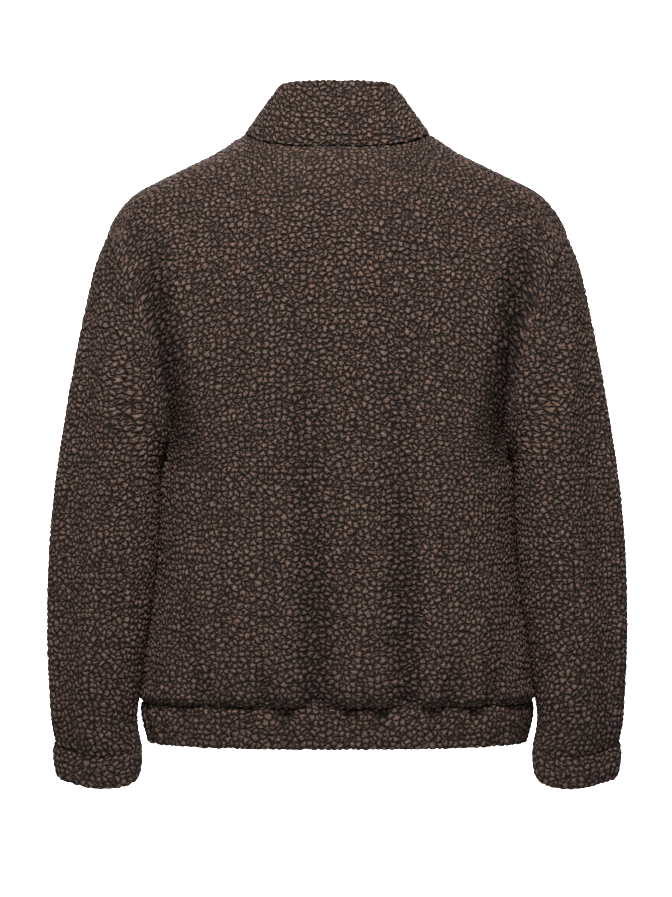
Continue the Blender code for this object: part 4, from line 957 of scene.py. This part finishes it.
def make_collar():
    rows, columns = COLLAR_GRID
    last = edge_turn(NECK_HALF)
    turns = np.linspace(-last, last, columns + 1)
    turn, rise = np.meshgrid(turns, np.linspace(0.0, 1.0, rows + 1))
    grid = pulled_in(collar(turn, rise), ["low"])
    grid[:, 0, 0] = -FRONT_EDGE_X
    grid[:, -1, 0] = FRONT_EDGE_X
    piece = doubled("collar_cloth", grid, -1, False, 22, foot=CLOTH)
    declare(piece, "collar")


make_collar()


# Zip tapes
# Two woven tapes, sewn under the fronts' edges from the hem band's foot to the collar's top. Their inner
# edges carry the zip's teeth and show as narrow dark strips beside them.
TAPE_INNER_X = 1.4
TAPE_OUTER_X = 15.0
TAPE_THICK = 0.8
TAPE_GAP = 0.6  # between the tapes and the cloth that they are sewn under
TAPE_SHORT = 1.5  # the tapes end this far below the collar's top and above the band's foot
LEAST_STEP = 3.0  # rows of the slot's line stand at least this far apart
TAPE_COLUMNS = 9
TAPE_STEP = 2.0


def edge_rows(grid, thick):
    """Inner face of the cloth at its front edge, and at the tape's outer edge, for each row of a grid."""
    inner = grid - normals_of(grid, 1) * thick
    share = (TAPE_OUTER_X - inner[:, :1, 0]) / (inner[:, -1:, 0] - inner[:, :1, 0])
    return np.stack([inner[:, 0], inner[:, 0] + (inner[:, -1] - inner[:, 0]) * share], axis=1)


def slot_rows():
    """Rows up the slot, foot to top: hem band, front and collar; of rows close together the deepest."""
    last = edge_turn(BAND_RINGS[-1, 1])
    turn, rise = np.meshgrid(np.linspace(last, last - 4.0, 3), np.linspace(0.0, 1.0, 6))
    rows = list(edge_rows(band(turn, rise), DOUBLE))
    share, rise = np.meshgrid([0.0, 0.025, 0.05], np.linspace(0.0, 2.0, 41))
    rows += list(edge_rows(body(-1, 1, share, rise, FRONT_FOLDS), CLOTH))
    last = edge_turn(NECK_HALF)
    turn, rise = np.meshgrid(np.linspace(last, last - 8.0, 3), np.linspace(0.0, 1.0, 6))
    thick = CLOTH + (DOUBLE - CLOTH) * np.minimum(rise * 3.0, 1.0)
    rows += list(edge_rows(collar(turn, rise), thick[..., None]))
    rows.sort(key=lambda row: row[0, 2])
    kept = rows[:1]
    for row in rows[1:]:
        if row[0, 2] - kept[-1][0, 2] > LEAST_STEP:
            kept.append(row)
        elif row[0, 1] > kept[-1][0, 1]:
            kept[-1] = row
    return np.array(kept)


def along_slot(rows, distances):
    """Points of the slot's line at distances up from its foot, points beside them, directions outwards."""
    line = rows[:, 0] * np.array([0.0, 1.0, 1.0])
    along = lengths_along(line)
    up = np.gradient(line, along, axis=0)
    out = stack(0.0, -up[:, 2], up[:, 1])
    read = [np.stack([np.interp(distances, along, values[:, k]) for k in range(3)], axis=-1)
            for values in (rows[:, 0], rows[:, 1], out)]
    return read[0], read[1], unit(read[2])


def slot_length(rows):
    return float(np.linalg.norm(np.diff(rows[:, 0, 1:], axis=0), axis=1).sum())


def tape_material():
    """Woven polyester tape: fine twill ribs as bumps and a slight change of shade, in nearly black brown."""
    made, tree, shader = new_material("zip_tape")
    place = tree.nodes.new("ShaderNodeTexCoord").outputs["Object"]
    twill = ("Rotation", (0.0, math.radians(38.0), 0.0))
    turned = add_node(tree, "ShaderNodeMapping", (("Vector", place), twill))
    waves = (("Vector", turned.outputs[0]), ("Scale", 480.0))
    ribs = add_node(tree, "ShaderNodeTexWave", waves, bands_direction="Z").outputs["Fac"]
    shades = ((0.0, (0.011, 0.0085, 0.0075)), (1.0, (0.030, 0.024, 0.021)))
    tree.links.new(colour_ramp(tree, ribs, shades), shader.inputs["Base Color"])
    add_bumps(tree, shader, ribs, 0.6, 0.0002)
    shader.inputs["Roughness"].default_value = 0.8
    return made


SLOT_ROWS = slot_rows()
ZIP_TAPE = tape_material()


def make_tape(hand, side_name):
    """Tape as a closed strip: its face from the inner to the outer edge, its back the other way round."""
    top = slot_length(SLOT_ROWS) - TAPE_SHORT
    edge, beside, out = along_slot(SLOT_ROWS, np.linspace(TAPE_SHORT, top, round(top / TAPE_STEP)))
    columns = np.linspace(TAPE_INNER_X, TAPE_OUTER_X, TAPE_COLUMNS)
    share = np.clip((columns - FRONT_EDGE_X) / (TAPE_OUTER_X - FRONT_EDGE_X), 0.0, 1.0)[None, :, None]
    base = edge[:, None] * (1.0 - share) + beside[:, None] * share
    base[..., 0] = hand * columns
    face, back = base - out[:, None] * TAPE_GAP, base - out[:, None] * (TAPE_GAP + TAPE_THICK)
    around = np.concatenate([face, back[:, ::-1]], axis=1)
    faces = closed_tube(index_grid(around), hand)
    points = around.reshape(-1, 3)
    node = "zip_tape_" + side_name
    piece = mesh_piece(node + "_cloth", points, faces, points, 0.0 * points[:, 0], ZIP_TAPE)
    piece.data.set_sharp_from_angle(angle=math.radians(50.0))
    declare(piece, node)


make_tape(1, "left")
make_tape(-1, "right")


# Zip teeth
# Two rows of cast metal teeth, clamped on the tapes' inner edges, locked into each other from the box at the
# foot to the slider below the collar's top. A tooth's head reaches between two of the other row.
TOOTH_PITCH = 2.6
TOOTH_REACH = -0.95  # x of a left tooth's head
TOOTH_WIDE = 1.24
ROW_OUTER_X = 3.0
ROW_THICK = 2.2
CARRIED_GAP = 0.3
BOX_HIGH = 8.0
SLIDER_BELOW_TOP = 10.0
ROWS_BELOW_SLIDER = 1.0
TOOTH_SECTION = np.array([
    # x from the row's outer edge in, half width along the zip, half depth
    [0, 0.42, 0.78],
    [0.06, 0.62, 1],
    [0.50, 0.62, 1],
    [0.62, 0.45, 0.92],
    [0.74, 0.45, 0.92],
    [0.86, 0.60, 0.96],
    [0.96, 0.56, 0.86],
    [1, 0.36, 0.62],
])
CORNER_TURNS = np.radians([12.0, 78.0, 102.0, 168.0, 192.0, 258.0, 282.0, 348.0])
CORNER_OUT = 1.02  # for the size that flat faces between the corners take off


def zip_metal_material():
    """Brushed metal: fine streaks along the zip in the roughness and as bumps."""
    made, tree, shader = new_material("zip_metal")
    shader.inputs["Base Color"].default_value = (0.30, 0.27, 0.25, 1.0)
    shader.inputs["Metallic"].default_value = 1.0
    place = tree.nodes.new("ShaderNodeTexCoord").outputs["Object"]
    stretched = vector_node(tree, "MULTIPLY", place, (6000.0, 6000.0, 500.0))
    waves = (("Vector", stretched), ("Scale", 1.0), ("Detail", 2.0))
    streaks = add_node(tree, "ShaderNodeTexNoise", waves).outputs["Fac"]
    ends = (("Value", streaks), ("To Min", 0.26), ("To Max", 0.46))
    rough = add_node(tree, "ShaderNodeMapRange", ends)
    tree.links.new(rough.outputs["Result"], shader.inputs["Roughness"])
    add_bumps(tree, shader, streaks, 0.2, 0.0001)
    return made


ZIP_METAL = zip_metal_material()


def make_teeth(hand, side_name):
    """A row of equal teeth: rounded rings of the section's table, set along the slot's line."""
    first = TAPE_SHORT + BOX_HIGH + CARRIED_GAP + TOOTH_WIDE
    top = slot_length(SLOT_ROWS) - TAPE_SHORT
    last = top - SLIDER_BELOW_TOP - ROWS_BELOW_SLIDER - TOOTH_WIDE
    distances = np.arange(first + (TOOTH_PITCH / 2.0 if hand < 0 else 0.0), last, TOOTH_PITCH)
    edge, _, out = along_slot(SLOT_ROWS, distances)
    middle = edge + out * (CARRIED_GAP + ROW_THICK / 2.0 - TAPE_GAP)
    middle[:, 0] = 0.0
    up = stack(0.0, out[:, 2], -out[:, 1])
    across, wide, deep = TOOTH_SECTION.T
    x = hand * (ROW_OUTER_X + (TOOTH_REACH - ROW_OUTER_X) * across)
    along = wide[:, None] * np.cos(CORNER_TURNS) * CORNER_OUT
    depth = deep[:, None] * ROW_THICK / 2.0 * np.sin(CORNER_TURNS) * CORNER_OUT
    points = (middle[:, None, None] + up[:, None, None] * along[None, ..., None]
              + out[:, None, None] * depth[None, ..., None])
    points[..., 0] = x[None, :, None]
    index = index_grid(points[0])
    faces = [[corner + k * index.size for corner in face]
             for k in range(len(points)) for face in closed_tube(index, -hand)]
    points = points.reshape(-1, 3)
    node = "zip_teeth_" + side_name
    piece = mesh_piece(node + "_metal", points, faces, points, 0.0 * points[:, 0], ZIP_METAL)
    piece.data.set_sharp_from_angle(angle=math.radians(40.0))
    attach(piece, "jacket")
    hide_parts(node)


make_teeth(1, "left")
make_teeth(-1, "right")


# Zip slider, pull tab and box
# The slider, its pull tab and the box at the zip's foot are cast in the same metal as the teeth. The tab
# hangs on the slider's arch. They keep their solids' shapes.
for node in ("zip_slider", "zip_pull", "zip_box"):
    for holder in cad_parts[node].material_slots:
        holder.material = ZIP_METAL


# Stage
# A pale sheet of paper under the jacket that sweeps up far beyond its front, and the photo's view of the
# back. Five soft lights: above the back, beside the camera, on the front, and two on the paper.
MM_PER_PIXEL = 1.10
PHOTO_HIGH = 897  # pixels
PHOTO_MIDDLE_PIXEL = (334.8, 448.5)
ORIGIN_PIXEL = (336.0, 144.9)
CAMERA_AWAY = 4.0
SENSOR = 36.0
FLOOR_Z = -2.4
PAPER_BEHIND = -8.0
PAPER_FLAT = 16.0
PAPER_BEND = 0.7
PAPER_SIZE = (18.0, 20.8)
PAPER_GRID = (9, 209)
LIGHTS = (
    # name, place, aim, size, power in watts
    ("key", (0.1, 1.95, 1.75), (0.0, 0.1, -0.35), 0.8, 235.0),
    ("fill", (-0.3, 3.6, 0.3), (0.0, 0.0, -0.35), 1.2, 22.0),
    ("front", (0.5, -3.2, 1.6), (0.0, 0.0, -0.3), 1.4, 170.0),
    ("paper_left", (2.3, -5.7, -0.2), (0.2, PAPER_BEHIND, -0.4), 1.2, 230.0),
    ("paper_right", (-2.3, -5.7, -0.2), (-0.2, PAPER_BEHIND, -0.4), 1.2, 230.0),
)


def paper(u, v):
    """Swept paper: flat on the floor, then a quarter circle, then upright; u across, v along it."""
    arc = PAPER_BEND * np.pi / 2.0
    turn = np.clip((v - PAPER_FLAT) / PAPER_BEND, 0.0, np.pi / 2.0)
    y = PAPER_BEHIND + PAPER_BEND + PAPER_FLAT - np.minimum(v, PAPER_FLAT) - PAPER_BEND * np.sin(turn)
    z = FLOOR_Z + PAPER_BEND * (1.0 - np.cos(turn)) + np.maximum(v - PAPER_FLAT - arc, 0.0)
    return stack(u, y, z)


def make_stage():
    wide, long = PAPER_SIZE
    across = np.linspace(-wide / 2.0, wide / 2.0, PAPER_GRID[0])
    u, v = np.meshgrid(across, np.linspace(0.0, long, PAPER_GRID[1]))
    points = paper(u, v)
    mesh = bpy.data.meshes.new("paper")
    mesh.from_pydata(points.reshape(-1, 3).tolist(), [], quads(index_grid(points)).tolist())
    mesh.shade_smooth()
    pale, _, shader = new_material("paper")
    shader.inputs["Base Color"].default_value = (0.93, 0.93, 0.93, 1.0)
    shader.inputs["Roughness"].default_value = 0.9
    mesh.materials.append(pale)
    add_object("paper", mesh)


def soft_light(name, place, aim, size, power):
    lamp = bpy.data.lights.new(name, "AREA")
    lamp.shape = "SQUARE"
    lamp.size = size
    lamp.energy = power
    made = add_object(name, lamp)
    made.location = place
    made.rotation_euler = (Vector(aim) - Vector(place)).to_track_quat("-Z", "Y").to_euler()


def make_camera():
    """Camera behind the jacket: its long side frames the photo's height at the jacket's middle."""
    metres = MM_PER_PIXEL * 0.001
    lens = bpy.data.cameras.new("photo_view")
    lens.sensor_width = SENSOR
    lens.lens = SENSOR * CAMERA_AWAY / (PHOTO_HIGH * metres)
    middle_x = -(PHOTO_MIDDLE_PIXEL[0] - ORIGIN_PIXEL[0]) * metres
    middle_z = -(PHOTO_MIDDLE_PIXEL[1] - ORIGIN_PIXEL[1]) * metres
    made = add_object("photo_view", lens)
    made.location = (middle_x, CAMERA_AWAY, middle_z)
    made.rotation_euler = (math.pi / 2.0, 0.0, math.pi)
    bpy.context.scene.camera = made


make_stage()
for light in LIGHTS:
    soft_light(*light)
make_camera()
world = bpy.data.worlds.new("studio")
world.use_nodes = True
background = world.node_tree.nodes["Background"]
background.inputs["Color"].default_value = (1.0, 1.0, 1.0, 1.0)
background.inputs["Strength"].default_value = 0.2
bpy.context.scene.world = world
bpy.context.scene.view_settings.view_transform = "Standard"
